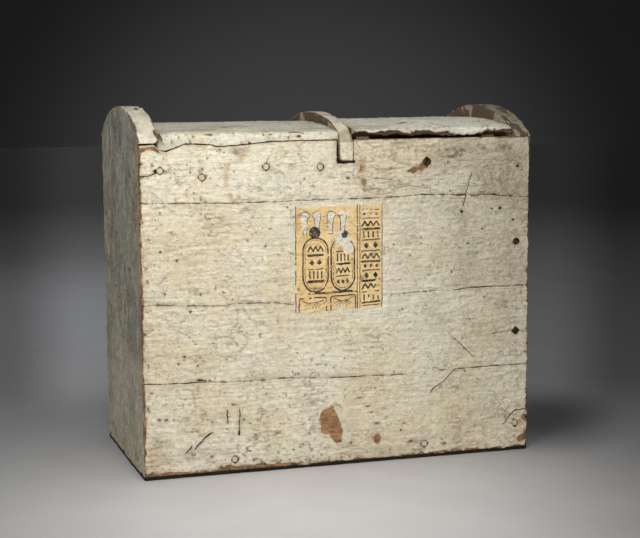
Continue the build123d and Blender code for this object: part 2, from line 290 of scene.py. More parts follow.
def make_piece(name, points, faces, body, stands_for, material, values=None, sharp=50):
    """A mesh object at the origin from points and faces, which may be several arrays of faces
    with different numbers of corners. It rides on a body and stands for CAD nodes."""
    faces = faces if isinstance(faces, list) else [faces]
    mesh = bpy.data.meshes.new(name)
    mesh.vertices.add(len(points))
    mesh.vertices.foreach_set("co", (points / 1000).astype(np.float32).ravel())
    corners = np.concatenate([part.ravel() for part in faces]).astype(np.int32)
    sizes = np.concatenate([np.full(len(part), part.shape[1]) for part in faces])
    mesh.loops.add(len(corners))
    mesh.loops.foreach_set("vertex_index", corners)
    mesh.polygons.add(len(sizes))
    mesh.polygons.foreach_set("loop_start", (np.cumsum(sizes) - sizes).astype(np.int32))
    mesh.update(calc_edges=True)
    mesh.shade_smooth()
    mesh.set_sharp_from_angle(angle=math.radians(sharp))
    for label, numbers in (values or {}).items():
        attribute = mesh.attributes.new(label, "FLOAT", "POINT")
        attribute.data.foreach_set("value", np.asarray(numbers, np.float32))
    mesh.materials.append(material)
    piece = bpy.data.objects.new(name, mesh)
    bpy.context.scene.collection.objects.link(piece)
    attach(piece, body)
    if stands_for:
        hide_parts(*stands_for)
    return piece


def make_board(node, body, points, faces, material, values):
    """A board with its coat, which stands for its CAD node."""
    make_piece(f"{node}_gessoed", points, faces, body, [node], material, values)


# The coat


def relief(points, along):
    """How far the coat lies behind the true face: a base, broad hollows, lumps, and ridges
    drawn out along one axis, stronger in some parts than in others."""
    drawn = [4.5, 4.5, 4.5]
    drawn[along] = 30.0
    strength = 0.45 + 0.75 * step_up(rough(points, 48, 7, 2), -0.3, 0.45)
    sunk = 1.1 + 0.5 * rough(points, 85, 1, 2)
    sunk += strength * (0.7 * rough(points, 21, 2, 2) + 0.85 * rough(points, drawn, 3, 2))
    sunk += strength * 0.85 * rough(points, 6.5, 4, 2)
    crease = np.abs(rough(points, 17, 5, 2))
    sunk += 0.7 * fade(crease, 0.09) * step_up(rough(points, 55, 6, 2), -0.1, 0.3)
    return np.maximum(sunk, SHALLOWEST)


class Coat:
    """The coat over some points of a board, laid out flat in u and v. sunk is its depth
    behind the true face, kept the distance inside it (negative on bare wood), the crack values
    with open the distance to a dark line and half its width, for cracks and for lines of
    painted shadow, and the dirt values with stain how dark and how yellow, the darkness from
    dirt and from painted shade."""

    def __init__(self, points, u, v, along):
        self.points = points
        self.u = u + 1.1 * rough(points, 6, 31, 2)
        self.v = v + 1.1 * rough(points, 6, 32, 2)
        self.sunk = relief(points, along)
        self.kept = np.full(len(points), 4.0)
        self.crack_and_shadow = np.full(len(points), 9.0)
        self.open = np.zeros(len(points))
        self.dirt_and_shade = np.zeros(len(points))
        self.stain = np.zeros(len(points))

    def split(self, gap, half_width, sunk=0.6, reach=1.6):
        """A crack at a known distance: a dark line, with the coat sunk and dirty beside it."""
        near = np.abs(gap) < np.minimum(np.abs(self.crack_and_shadow), 3.0)
        self.crack_and_shadow = np.where(near, gap, self.crack_and_shadow)
        self.open = np.where(near, half_width, self.open)
        amount = np.clip(half_width / 0.4, 0, 1)
        self.sunk += sunk * amount * fade(np.abs(gap), reach)
        self.soil_and_shade(0.55 * amount * close_to(np.abs(gap), 1.7))

    def cracked(self, path, half_width, sunk=0.5):
        """A crack along a path, narrowing to its ends."""
        gap, share = line_distance(self.u, self.v, path)
        taper = np.clip(np.minimum(share, 1 - share) * 9 + 0.15, 0, 1)
        self.split(gap, half_width * taper, sunk)

    def bare(self, inside, sunk=1.1):
        """Takes the coat off where inside is positive, with a steep lip."""
        self.kept = np.minimum(self.kept, -inside)
        crumbled = 0.45 * rough(self.points, 3.2, 33, 2)
        self.sunk += (sunk + crumbled) * np.clip(inside / 1.2 + 0.5, 0, 1)

    def chipped(self, outline, sunk=1.1):
        """Takes the coat off inside an outline, with a crumbled edge."""
        crumbled = 2.6 * rough(self.points, 6.5, 35, 3) - 0.3
        self.bare(area_distance(self.u, self.v, outline) + crumbled, sunk)

    def spot(self, u, v, radius_u, radius_v):
        """How far inside an oval each point is."""
        ring = np.hypot((self.u - u) / radius_u, (self.v - v) / radius_v)
        return (1 - ring) * min(radius_u, radius_v)

    def soil_and_shade(self, amount):
        """Dirt and painted shade, where it is more than there was."""
        self.dirt_and_shade = np.maximum(self.dirt_and_shade, amount)

    def yellow(self, amount):
        """Stain, where it is more than there was."""
        self.stain = np.maximum(self.stain, amount)

    def blackened(self, chosen):
        """Dirt and shadow, black, over the chosen points."""
        self.crack_and_shadow = np.where(chosen, 0.0, self.crack_and_shadow)
        self.open = np.where(chosen, 0.8, self.open)

    def flecked(self, seed, size, share):
        """Small random chips, over more of the coat where share is larger."""
        noise = rough(self.points, size, seed, 2)
        self.bare((noise - 0.8 + share) * size * 0.8, 0.7)

    def pitted(self, seed, share, size=4.6):
        """Small dark pits, gathered in clusters."""
        cluster = step_up(rough(self.points, 50, seed, 3), -0.05, 0.4)
        pit = step_up(rough(self.points, size, seed + 1, 2) + share * cluster, 0.66, 0.78)
        self.sunk += 0.7 * pit
        self.soil_and_shade(0.9 * pit)

    def folded(self, seed, size, share, depth=0.7):
        """Fine folds, sunk and darkened along their creases as painted shade, where a drawn-out
        noise passes through zero, over more of the coat where share is larger."""
        fold = fade(np.abs(rough(self.points, size, seed, 2)), 0.11)
        fold = fold * step_up(share + rough(self.points, 40, seed + 1, 2), 0.0, 0.3)
        self.sunk += depth * fold
        # The darkening along the folds is painted shade in the creases.
        self.soil_and_shade(0.62 * fold)


def thinning(depth):
    """How far inside the coat a point at a depth behind the face is. Past 1.3 mm there is
    bare wood."""
    return (1.3 - depth) * 3


def values_of(parts, count):
    """The attributes of a board from its coats, each given with the points it covers and the
    thickness that is left of it. Points under no coat are bare wood."""
    plain = {"kept": -4.0, "crack_and_shadow": 9.0, "open": 0.0, "dirt_and_shade": 0.25, "stain": 0.0}
    values = {label: np.full(count, number) for label, number in plain.items()}
    for chosen, coat, thickness in parts:
        for label in plain:
            values[label][chosen] = getattr(coat, label)
        values["kept"][chosen] = np.minimum(coat.kept, thickness)
    values["kept"] = np.clip(values["kept"], -4, 4)
    values["dirt_and_shade"] = np.clip(values["dirt_and_shade"], 0, 1)
    return values


def values_under(coat, thickness):
    """The attributes of a board under one coat."""
    return values_of([(slice(None), coat, thickness)], len(coat.points))


# The front, in x and z: the joints between the planks from left to right, with half their
# widths, the seam under the left lid, cracks with half their widths, and chips with their depths

JOINT_PATHS = {
    "top": [(-280, 371.8), (-274, 371.6), (-148, 368.8), (-46, 369.4), (54, 369.4), (89, 370.4),
            (120, 372.6), (187, 370), (219, 369.7), (258, 365.4), (280, 364.7)],
    "upper": [(-280, 237), (-233, 235.1), (-188, 231.9), (-138, 233.4), (-96, 231.7),
              (-69, 227.7), (0, 231), (78, 235.1), (132, 237.2), (158, 236.9), (193, 239.4),
              (230, 238.6), (280, 238.9)],
    "lower": [(-280, 131.3), (-247, 130.1), (-198, 129.3), (-171, 127.8), (-119, 126.8),
              (-87, 127.7), (-19, 123.6), (40, 123), (93, 121.1), (150, 124), (224, 125.2),
              (280, 124.8)],
}
JOINT_WIDTHS = {
    "top": [(-280, 0.5), (-140, 0.46), (-40, 0.3), (60, 0.34), (140, 0.5), (280, 0.6)],
    "upper": [(-280, 0.46), (-75, 0.42), (-66, 0.02), (59, 0.02), (78, 0.4), (280, 0.6)],
    "lower": [(-280, 0.5), (88, 0.44), (97, 0.05), (157, 0.05), (166, 0.55), (280, 0.6)],
}
SEAM = [(-280, 447.2), (-258, 448.7), (-250, 442.3), (-242, 438.6), (-232, 442), (-218, 448.1),
        (-206, 448.3), (-179, 446.4), (-175, 444.5), (-155, 444.6), (-98, 449.6), (-63, 450),
        (280, 450)]
JOINT_REACH = 28
CRACKS = [
    (0.75, [(-282, 407), (-272, 407.4), (-262, 408), (-252, 412)]),
    (0.8, [(-282, 423), (-272, 423.4)]),
    (0.75, [(-282, 384), (-275, 384.6)]),
    (0.7, [(-282, 346), (-276, 345.2)]),
    (0.7, [(-282, 316), (-276, 316.4)]),
    (0.7, [(-282, 398), (-276, 398)]),
    (0.22, [(-244, 414), (-231, 415), (-212, 414.2)]),
    (0.3, [(-282, 203.4), (-262, 203.1)]),
    (0.35, [(219, 171.2), (234, 173.4), (249, 173.8), (258, 174), (267, 172.8), (279, 171.9)]),
    (0.5, [(128, 90), (134.6, 99.7), (150.6, 109.2), (157, 117), (164, 124.4), (172, 125)]),
    (0.26, [(132.4, 133.3), (140, 130), (149.7, 123.6)]),
    (0.26, [(-12.5, 89), (0.1, 79.6)]),
    (0.7, [(240, 38), (246, 44), (252, 52), (262, 58), (277, 60)]),
    (0.55, [(191.4, 402), (184, 376), (177, 351)]),
    (0.44, [(161.5, 172.3), (180, 155), (196.8, 140.4)]),
    (0.8, [(-222.4, 33.8), (-212.9, 43.6)]),
    (1.0, [(-210, 37), (-202, 46), (-195, 53.5), (-184.7, 60)]),
    (0.2, [(-257.8, 261.4), (-243.4, 275.8)]),
    (0.75, [(-164.5, 89.4), (-163.6, 70.7)]),
    (0.55, [(-146.6, 90.2), (-147.1, 54.9)]),
    (1.9, [(-147.1, 60), (-147.1, 53)]),
    (1.0, [(-205, 131), (-192, 129.5)]),
    (0.7, [(-92, 127.6), (-82, 128)]),
    (0.24, [(-106, 421), (-103, 428), (-101, 432)]),
    (0.2, [(24, 394), (52, 397), (88, 391)]),
    (0.2, [(70, 380), (96, 384), (128, 379)]),
    (0.18, [(30, 383), (55, 381)]),
    (0.2, [(64, 407), (92, 411)]),
]
CHIPS = [
    (1.5, [(-30.2, 78.7), (-20.9, 81.2), (-12.6, 83.9), (-13.6, 78.5), (-8.4, 68.9),
           (-2.2, 54.3), (-0.1, 48.1), (-2.3, 33.9), (-9.7, 31.5), (-14.7, 36.8), (-21.1, 43.6),
           (-31.5, 48.5), (-32.4, 64.7)]),
    (0.9, [(94, 405), (99, 408.5), (108, 411.5), (116, 415.5), (120, 417), (126, 412.5),
           (126, 408.5), (116, 405), (104, 403.6)]),
    (1.0, [(282, 14), (282, 27), (272, 24), (266, 20), (262, 16), (268, 12)]),
    (1.0, [(282, 40), (282, 52), (274, 51), (268, 47), (273, 41)]),
    (1.0, [(-283, 447), (-283, 421), (-276.5, 423), (-275.5, 436), (-271, 442.5),
           (-263, 443.4), (-255, 441.3), (-249, 443.5), (-256, 446), (-270, 447)]),
]
# Ovals: their middle, their two radii, and an amount where they have one
SPOTS = [(50.6, 32.9, 5, 7), (257.3, 299.9, 4.5, 3), (-257.6, 82, 2.4, 1.6), (-248, 81, 2, 1.6),
         (-185.8, 26.4, 2.2, 1.6), (12, 30, 2, 2), (100.9, 25.8, 2.6, 1.8), (151, 17.7, 2.6, 1.8),
         (36.8, 79.8, 3.2, 1.1), (25, 93, 4, 1), (50, 54.6, 3.4, 1), (41, 71, 2.6, 1),
         (9, 398, 2.4, 1.6), (28, 411, 1.6, 4)]
PATCHES = [(163, 429, 50, 13, 0.95), (232, 436, 44, 13, 0.8), (32, 392, 6, 7, 0.9),
           (84, 388, 5, 7, 0.8), (-16, 400, 7, 5, 0.5), (215, 375, 60, 22, 0.4),
           (-143, 439, 17, 8, 0.8), (29, 416, 7, 15, 0.95), (-246, 414, 9, 7, 0.9),
           (-256, 38, 22, 30, 0.5), (-200, 30, 60, 14, 0.4), (60, 14, 60, 10, 0.5),
           (225, 345, 16, 7, 0.6), (-195, 425, 6, 5, 0.7), (110, 22, 26, 10, 0.6),
           (-60, 372, 60, 7, 0.3), (262, 250, 16, 180, 0.35), (-70, 130, 120, 7, 0.25),
           (205, 60, 70, 60, 0.25)]
STAINS = [(-266, 26, 26, 40, 0.75), (-278, 200, 9, 260, 0.6), (276, 30, 20, 40, 0.6),
          (-60, 4, 240, 12, 0.5), (-10, 56, 40, 40, 0.4), (60, 30, 40, 26, 0.35)]
# Small round holes in the coat: their middle and radius
DARK_SPOTS = [(-256, 413.4, 3.4), (261, 408.7, 3.4), (185.9, 301.7, 2), (162, 262, 1.6),
              (-251.7, 307, 1.6), (-230, 295, 1.8), (-212.7, 226, 1.6), (-222, 165.6, 1.8),
              (-230, 156, 1.6), (-204, 152, 1.5), (-247, 251, 1.8), (-198, 248.6, 1.4),
              (85.8, 42.5, 1.8), (175.9, 347, 3), (222.4, 349.4, 2), (234.6, 350.4, 3),
              (254.8, 332.7, 2.2), (-193, 415, 1.7), (208, 322, 1.7), (214, 313, 1.4),
              (-108, 309, 1.3), (258.6, 174, 2.6)]
# Yellow smears: their reach and path
SMEARS = [
    (4, [(-275, 443), (-262, 444), (-250, 445)]),
    (5, [(-149.9, 446), (-140, 440), (-135, 431.7), (-159, 419), (-160, 395), (-153, 369)]),
    (8, [(30, 400), (30, 420)]),
    (7, [(-62, 367), (-64, 352), (-66, 330)]),
    (5, [(60, 366), (66, 352), (61, 342)]),
]
HIDDEN_PEGS = [(260, 408.75), (-250, 305.25), (-250, 181), (-250, 55), (50, 415), (202, 411),
               (-220, 20), (225, 20), (-17, 20)]
SUNK_PEGS = [(261, 300), (260, 174)]


def joint_heights(wall):
    """Each joint's straight height in the CAD, by the name of the plank above it."""
    return {level: extent(f"{wall}_{level}_plank")[0][2] for level in ("top", "upper", "lower")}


def joint_shift(x, wall, level, height):
    """How far a joint wanders from its straight line at x."""
    line = line_at(x, height)
    if wall == "front":
        shift = follow(x, JOINT_PATHS[level]) - height
    else:
        shift = 2.2 * rough(line, 90, 41, 2)
    return shift + 0.7 * rough(line, 9, 42, 2)


def wander(points, wall):
    """Moves points up and down with the joints: all of the shift on a joint, and less and
    less of it up to JOINT_REACH away."""
    points = points.copy()
    rise = np.zeros(len(points))
    for level, height in joint_heights(wall).items():
        share = fade(np.abs(points[:, 2] - height), JOINT_REACH)
        rise += share * joint_shift(points[:, 0], wall, level, height)
    points[:, 2] += rise
    return points


def arris_wear(places, seed, least, spread):
    """The width of the worn strip along an arris, which comes and goes."""
    return least + spread * (rough(places, 26, seed, 2) + 0.6 * rough(places, 7, seed + 1, 2))


def seam_shift(x):
    """How far the crack between the wall and the left lid lies below the rim."""
    line = line_at(x)
    shift = np.minimum(follow(x, SEAM) - RIM, 0)
    return np.minimum(shift * (1 + 0.12 * rough(line, 8, 43, 2)), 0)


def seam_width(x):
    """Half the width of the crack under the left lid."""
    line = line_at(x)
    return np.clip(0.38 + 0.55 * rough(line, 11, 47, 3), 0.06, 0.75)


FLARE_REACH = 14
FOOT_JOINT = [(447.5, -8.2), (449.3, -7.0), (451.5, -2.0), (454.4, 3.4), (458.5, 2.6), (463.5, 0)]


def flare(y, z):
    """How far the joint between the left arch's foot and the lid strays at the front, towards
    the lid where it is positive."""
    return follow(z, FOOT_JOINT) * step_up(-y, 122, 136)


def joints_on(coat, x, z, wall):
    """The cracks over the joints between the planks."""
    for level, height in joint_heights(wall).items():
        line = line_at(x, height)
        width = follow(x, JOINT_WIDTHS[level]) if wall == "front" else 0.4
        width = np.clip(width * (0.62 + 1.9 * rough(line, 9, 44, 3)), 0.22 * width, 0.65)
        coat.split(z - height, np.maximum(width, 0.03), 1.5, 1.5)
        rim = 0.14 * step_up(x, 60, 160) if wall == "front" and level == "top" else 0.0
        loss = rough(coat.points, (13, 13, 3), 45, 2) - 0.6 + rim
        coat.bare(np.minimum(loss * 8, 2.0 - np.abs(z - height)), 0.6)
        dark = step_up(rough(line, 16, 46, 2), 0.3, 0.42) * close_to((z - height) ** 2, 2.5)
        coat.soil_and_shade(0.9 * dark)


def notch_gap(x, z):
    """Distance outside the notch of the partition's tab."""
    low, high = extent("partition_arch_board")
    beside = np.maximum(np.maximum(low[0] - x, x - high[0]), 0)
    return np.hypot(beside, np.maximum(TAB_BOTTOM - z, 0))


def oval_patch(x, z, patch, core):
    """The amount of a patch: whole inside the core's share of its oval, and nothing past 1.1
    times the oval."""
    u, v, radius_u, radius_v, amount = patch
    ring = np.hypot((x - u) / radius_u, (z - v) / radius_v)
    return amount * (1 - step_up(ring, core, 1.1))


def fold_front(coat, x, z):
    """Wrinkles along the planks, strongest in the top one to the right of the partition."""
    wrinkled = step_up(x, 0, 60) * step_up(z, 366, 382) * (1 - step_up(x, 190, 250))
    coat.sunk += (0.25 + 0.95 * wrinkled) * rough(coat.points, (22, 22, 5.5), 52, 2)
    coat.folded(51, (26, 26, 7), 1.1 * wrinkled - 0.3, 1.3)
    coat.folded(53, (17, 17, 11), 0.55 * step_up(x, 90, 200) - 0.25, 0.9)
    coat.folded(55, (30, 30, 7), 0.22 * step_up(z, 300, 400) - 0.22, 0.8)


def damage_front(coat):
    """The front's cracks, chips, flaked spots and small dark holes."""
    for half_width, path in CRACKS:
        coat.cracked(path, half_width)
    for depth, outline in CHIPS:
        coat.chipped(outline, depth)
    for spot in SPOTS:
        coat.bare(coat.spot(*spot), 0.8)
    for u, v, radius in DARK_SPOTS:
        inside = coat.spot(u, v, radius, radius)
        coat.soil_and_shade(step_up(inside, -0.5, 0.6))
        coat.split(np.maximum(0.45 * radius - inside, 0), 0.4, 0.9)


def smear_front(coat, x, z):
    """The front's dirty patches and yellow smears."""
    mottled = np.clip(0.68 + 1.4 * rough(coat.points, (14, 14, 8), 68, 3), 0, 1.2)
    for patch in PATCHES:
        coat.soil_and_shade(oval_patch(x, z, patch, 0.35) * mottled)
    mottled = np.clip(0.85 + rough(coat.points, 11, 75, 2), 0, 1.2)
    for reach, path in SMEARS:
        gap, _ = line_distance(coat.u, coat.v, path)
        coat.yellow(0.95 * mottled * (1 - step_up(np.abs(gap), 0.1 * reach, 1.2 * reach)))


def wear_front(coat, x, z, corner):
    """The front's worn arrises, black ticks down the right one, and the crevice round the
    partition's tab, which is open at its left and under it. The crevice's dark line and the
    darkening beside it are painted shade in the gap, with dirt, stronger at its left and under it."""
    points = coat.points
    left_wear = arris_wear(points, 61, 2.2, 3.8)
    right_wear = arris_wear(points, 63, 0.2, 4.2)
    coat.bare(np.where(x < 0, left_wear, right_wear) - corner, 0.5)
    coat.bare(arris_wear(points, 65, 6.4 + 1.6 * (x < -60), 5.5) - z, 0.6)
    ticks = (x > 0) * (0.9 + 5.5 * rough(points, (40, 40, 6), 101, 3))
    coat.blackened(corner < np.minimum(ticks, 3.2))
    # Painted shade in the gap round the tab, with dirt: a dark line and darkening, wide on its left
    # and under it, thin on its right.
    notch = notch_gap(x, z)
    open_side = (x < 0) | (z < TAB_BOTTOM + 1)
    crevice = np.where(open_side, 1.5, 0.25) + 0.5 * rough(points, 7, 67, 2)
    coat.split(notch - crevice, np.maximum(crevice, 0.02), 1.9, 2.0)
    coat.soil_and_shade(np.where(open_side, 0.85, 0.4) * close_to(notch, 3.5))


def age_front(coat, x, z, corner):
    """Flecks and pits, which are thicker near the edges, the right side darkened as painted
    shade, the yellower left side, the seam under the left lid, and stains and grime along the
    edges."""
    points = coat.points
    edge = close_to(np.minimum(corner, z), 20)
    coat.flecked(71, 4.5, -0.08 + 0.38 * edge)
    coat.flecked(72, 9.0, -0.1 + 0.34 * edge)
    coat.pitted(73, 0.22 + 0.18 * edge)
    coat.pitted(173, 0.02 + 0.36 * close_to(z, 45), (8, 8, 5.5))
    # Painted shade: the front darker toward the right, and there more toward the top.
    shade = step_up(x, 40, 220) * (0.19 + 0.5 * step_up(z, 60, 400))
    coat.soil_and_shade(shade * (0.8 + 0.6 * rough(points, 40, 74, 3)))
    warm = (1 - step_up(x, -140, 20)) * step_up(z, 60, 150) * (1 - step_up(z, 330, 400))
    coat.yellow(0.22 * warm * (0.7 + 0.6 * rough(points, 60, 78, 2)))
    under_left, under_right = x < -4, x > 17
    rim_gap = RIM - z
    seam = np.where(under_left, seam_width(x), 0.0)
    coat.split(np.where(under_left, rim_gap, FAR), seam, 1.2, 1.2)
    coat.bare(np.where(under_right, arris_wear(points, 69, 0.4, 2.0), 0.3) - rim_gap, 0.6)
    coat.soil_and_shade(0.35 * close_to(z, 14))
    mottled = 0.7 + 0.9 * rough(points, (9, 9, 9), 79, 3)
    for stain in STAINS:
        coat.yellow(oval_patch(x, z, stain, 0.3) * mottled)
    edge = np.minimum(corner, z - 6)
    grimy = step_up(rough(points, 7, 82, 3), -0.3, 0.5)
    coat.soil_and_shade(0.85 * grimy * close_to(edge, 5))
    charred = step_up(rough(points, (6, 6, 9), 90, 3), -0.25, 0.3)
    near_edge = np.minimum(edge, rim_gap) < 9
    coat.soil_and_shade(np.where((coat.kept < 0) & near_edge, 0.95 * charred, 0))
    mottled = step_up(rough(points, 4.5, 36, 3), -0.05, 0.35)
    coat.soil_and_shade(np.where(coat.kept < 0, 0.6 * mottled, 0))


def front_coat(points):
    """The coat on the front of the wall."""
    x, z = points[:, 0], points[:, 2]
    corner = HALF_X - np.abs(x)
    coat = Coat(points, x, z, 0)
    fold_front(coat, x, z)
    joints_on(coat, x, z, "front")
    damage_front(coat)
    smear_front(coat, x, z)
    wear_front(coat, x, z, corner)
    age_front(coat, x, z, corner)
    foot_line(coat, z)
    return coat


def foot_line(coat, z):
    """A black line of dirt and shadow along the foot, about 6 mm high and ragged above."""
    coat.blackened(z + 1.1 * rough(coat.points, 14, 76, 2) < 5.8)


def back_coat(points):
    """The coat on the back of the wall."""
    x, z = points[:, 0], points[:, 2]
    coat = Coat(points, x, z, 0)
    joints_on(coat, x, z, "back")
    corner = HALF_X - np.abs(x)
    for seed, least, spread, gap in ((73, 1.6, 3.6, corner), (75, 1.4, 5.0, z),
                                     (77, 0.5, 2.6, RIM - z)):
        coat.bare(arris_wear(points, seed, least, spread) - gap, 0.6)
    notch = notch_gap(x, z)
    coat.bare(arris_wear(points, 67, 1.3, 2.0) - notch, 1.2)
    coat.soil_and_shade(0.7 * close_to(notch, 2.2))
    edge = close_to(np.minimum(corner, z), 26)
    coat.flecked(79, 6.0, 0.12 + 0.2 * edge)
    coat.flecked(80, 20.0, 0.13 + 0.2 * edge)
    coat.soil_and_shade(0.35 * close_to(z, 20))
    foot_line(coat, z)
    return coat


def end_joint():
    """Where the two boards of an end meet, in y."""
    return extent("left_end_front_board")[1][1]


def end_coat(points):
    """The coat on the outer face of an end board, with the ends of the wall planks."""
    x, y, z = points.T
    coat = Coat(points, y, z, 2)
    corner = HALF_Y - np.abs(y)
    coat.bare(arris_wear(points, 61, 2.0, 2.6) - np.where(z < RIM, corner, FAR), 0.4)
    coat.bare(arris_wear(points, 81, 1.5, 5.0) - z, 0.6)
    line = line_at(x, z=z)
    width = 0.24 * (1 + 2.2 * rough(line, 20, 83, 2))
    coat.split(y - end_joint(), np.clip(width, 0.0, 0.6), 0.9, 1.6)
    width = np.where(z < RIM, 0.16 * (1 + 2.6 * rough(line, 30, 84, 2)), 0)
    coat.split(np.abs(y) - (HALF_Y - WALL), np.clip(width, 0.0, 0.5), 0.5, 1.6)
    edge = close_to(np.minimum(corner, z), 24)
    coat.flecked(86, 5.0, 0.02 + 0.24 * edge)
    coat.flecked(87, 16.0, 0.02 + 0.2 * edge)
    coat.pitted(85, 0.24)
    blotch = rough(points, (60, 60, 45), 88, 3) + 0.6 * rough(points, (22, 22, 18), 89, 3)
    # Darker toward the top: painted shade, over a base of dirt and its blotches.
    high = step_up(z, 40, 330)
    coat.soil_and_shade(0.16 + 0.31 * high + 0.3 * step_up(blotch, -0.4, 0.45))
    scuffed = step_up(rough(points, (13, 13, 26), 92, 3), 0.08, 0.42)
    coat.dirt_and_shade = coat.dirt_and_shade * (1 - 0.5 * scuffed)
    coat.pitted(96, 0.3, 8.0)
    coat.soil_and_shade(0.5 * close_to(z, 10))
    foot_line(coat, z)
    return coat


# Maps to the real form


def pull_in(points, axis, face, depth):
    """Moves points near a face inward along an axis: by the depth on the face, and less and
    less behind it. The face's sign says which way is out."""
    out = 1.0 if face > 0 else -1.0
    gap = out * (face - points[:, axis])
    points[:, axis] -= out * depth * fade(gap, BEND)


def wall_form(points, wall, coats):
    """Draws the block of a wall plank into its real form: its arrises are rounded, the coats
    sink behind the true faces, and the joints wander. Each coat comes with its axis and the
    points it covers."""
    side = -1 if wall == "front" else 1
    out = points.copy()
    gap_x, gap_y = HALF_X - np.abs(points[:, 0]), HALF_Y - side * points[:, 1]
    gap_x, gap_y = round_off(gap_x, gap_y, 1.9 + 1.2 * rough(points, 30, 91, 2))
    gap_z, gap_y = round_off(RIM - points[:, 2], gap_y, 0.5)
    low_z, gap_y = round_off(points[:, 2], gap_y, 3.6)
    out[:, 0] = np.sign(points[:, 0]) * (HALF_X - gap_x)
    out[:, 1] = side * (HALF_Y - gap_y)
    out[:, 2] = np.where(points[:, 2] > RIM / 2, RIM - gap_z, low_z)
    for axis, faces, chosen, coat in coats:
        sunk = np.zeros(len(points))
        sunk[chosen] = np.maximum(coat.sunk, SHALLOWEST)
        for face in faces:
            pull_in(out, axis, face, np.where(out[:, axis] * face > 0, sunk, 0))
    out = wander(out, wall)
    if wall == "front":
        near = fade(points[:, 1] + HALF_Y, 8)
        out[:, 2] += seam_shift(points[:, 0]) * near * fade(RIM - points[:, 2], 20)
    return out


def peg_places(node, axis):
    """Where each peg of a node is: its lowest and highest corner, found by gathering the
    points that lie within 12 mm of each other across the peg's axis."""
    mesh = frame["nodes"][node].data
    spots = np.empty(len(mesh.vertices) * 3, np.float32)
    mesh.vertices.foreach_get("co", spots)
    spots = spots.reshape(-1, 3) * 1000.0
    across = [a for a in range(3) if a != axis]
    outer = np.sign(spots[:, axis])
    pegs = []
    while len(spots):
        near = (np.abs(spots[:, across] - spots[0, across]).max(axis=1) < 12) & (outer == outer[0])
        pegs.append((spots[near].min(axis=0), spots[near].max(axis=0)))
        spots, outer = spots[~near], outer[~near]
    return sorted(pegs, key=lambda pair: tuple(np.round(pair[0], 1)))


def is_near(x, z, places, reach):
    """Whether one of the places lies within reach of x and z."""
    return any(math.hypot(x - a, z - b) < reach for a, b in places)


def sunk_peg(centre):
    """Whether a peg of the front has broken off below the face."""
    return centre[1] < 0 and is_near(centre[0], centre[2], SUNK_PEGS, 9)


def hidden(x, z, wall):
    """Whether the coat covers a peg of a wall whole. On the back it does so here and there."""
    return is_near(x, z, HIDDEN_PEGS, 6) if wall == "front" else math.sin(x * 3.7 + z) > 0.3


def wall_holes(wall, low, high):
    """The holes of the pegs that show in one plank, and the knob's hole."""
    holes = []
    for kind in ("corner", "floor", "rail"):
        for start, stop in peg_places(f"{wall}_{kind}_pegs", 1):
            x, z = (start[0] + stop[0]) / 2, (start[2] + stop[2]) / 2
            if low < z < high and not hidden(x, z, wall):
                holes.append((x, z, PEG_HOLE))
    knob = next(mount for mount in frame["record"]["mounts"] if mount["name"] == "knob_hole")
    x, _, z = (1000 * length for length in knob["pos_m"])
    if wall == "front" and low < z < high:
        holes.append((x, z, knob["dims"]["r_mm"] + 1.0))
    return holes


def wear_hole(coat, crumbled, past, sunk, dirt_and_shade, reach):
    """Wears and soils the coat round a hole, from the distance past its edge."""
    coat.bare(crumbled - past, sunk)
    coat.soil_and_shade(dirt_and_shade * close_to(np.abs(past), reach))


def wear_wall_hole(coat, depth, x, z, radius):
    """Wears the coat round a hole in a wall, with a broken dark ring, and black walls: painted
    shadow inside the hole, with dirt.
    """
    points = coat.points
    past = np.hypot(points[:, 0] - x, points[:, 2] - z) - radius
    partly = np.clip(0.6 + 1.5 * rough(points, 8, 94, 1), 0, 1)
    wear_hole(coat, 2.0 * rough(points, 7, 93, 2), past, 0.7, 0.9 * partly, 2.0)
    coat.split(past - 0.2, 0.62 * partly, 0.4, 1.2)
    # The hole's walls are painted black, as shadow inside the hole with dirt.
    across = np.maximum(*np.abs(points[:, [0, 2]] - [x, z]).T)
    coat.blackened((across < radius + 0.3) & (depth > 0.4))


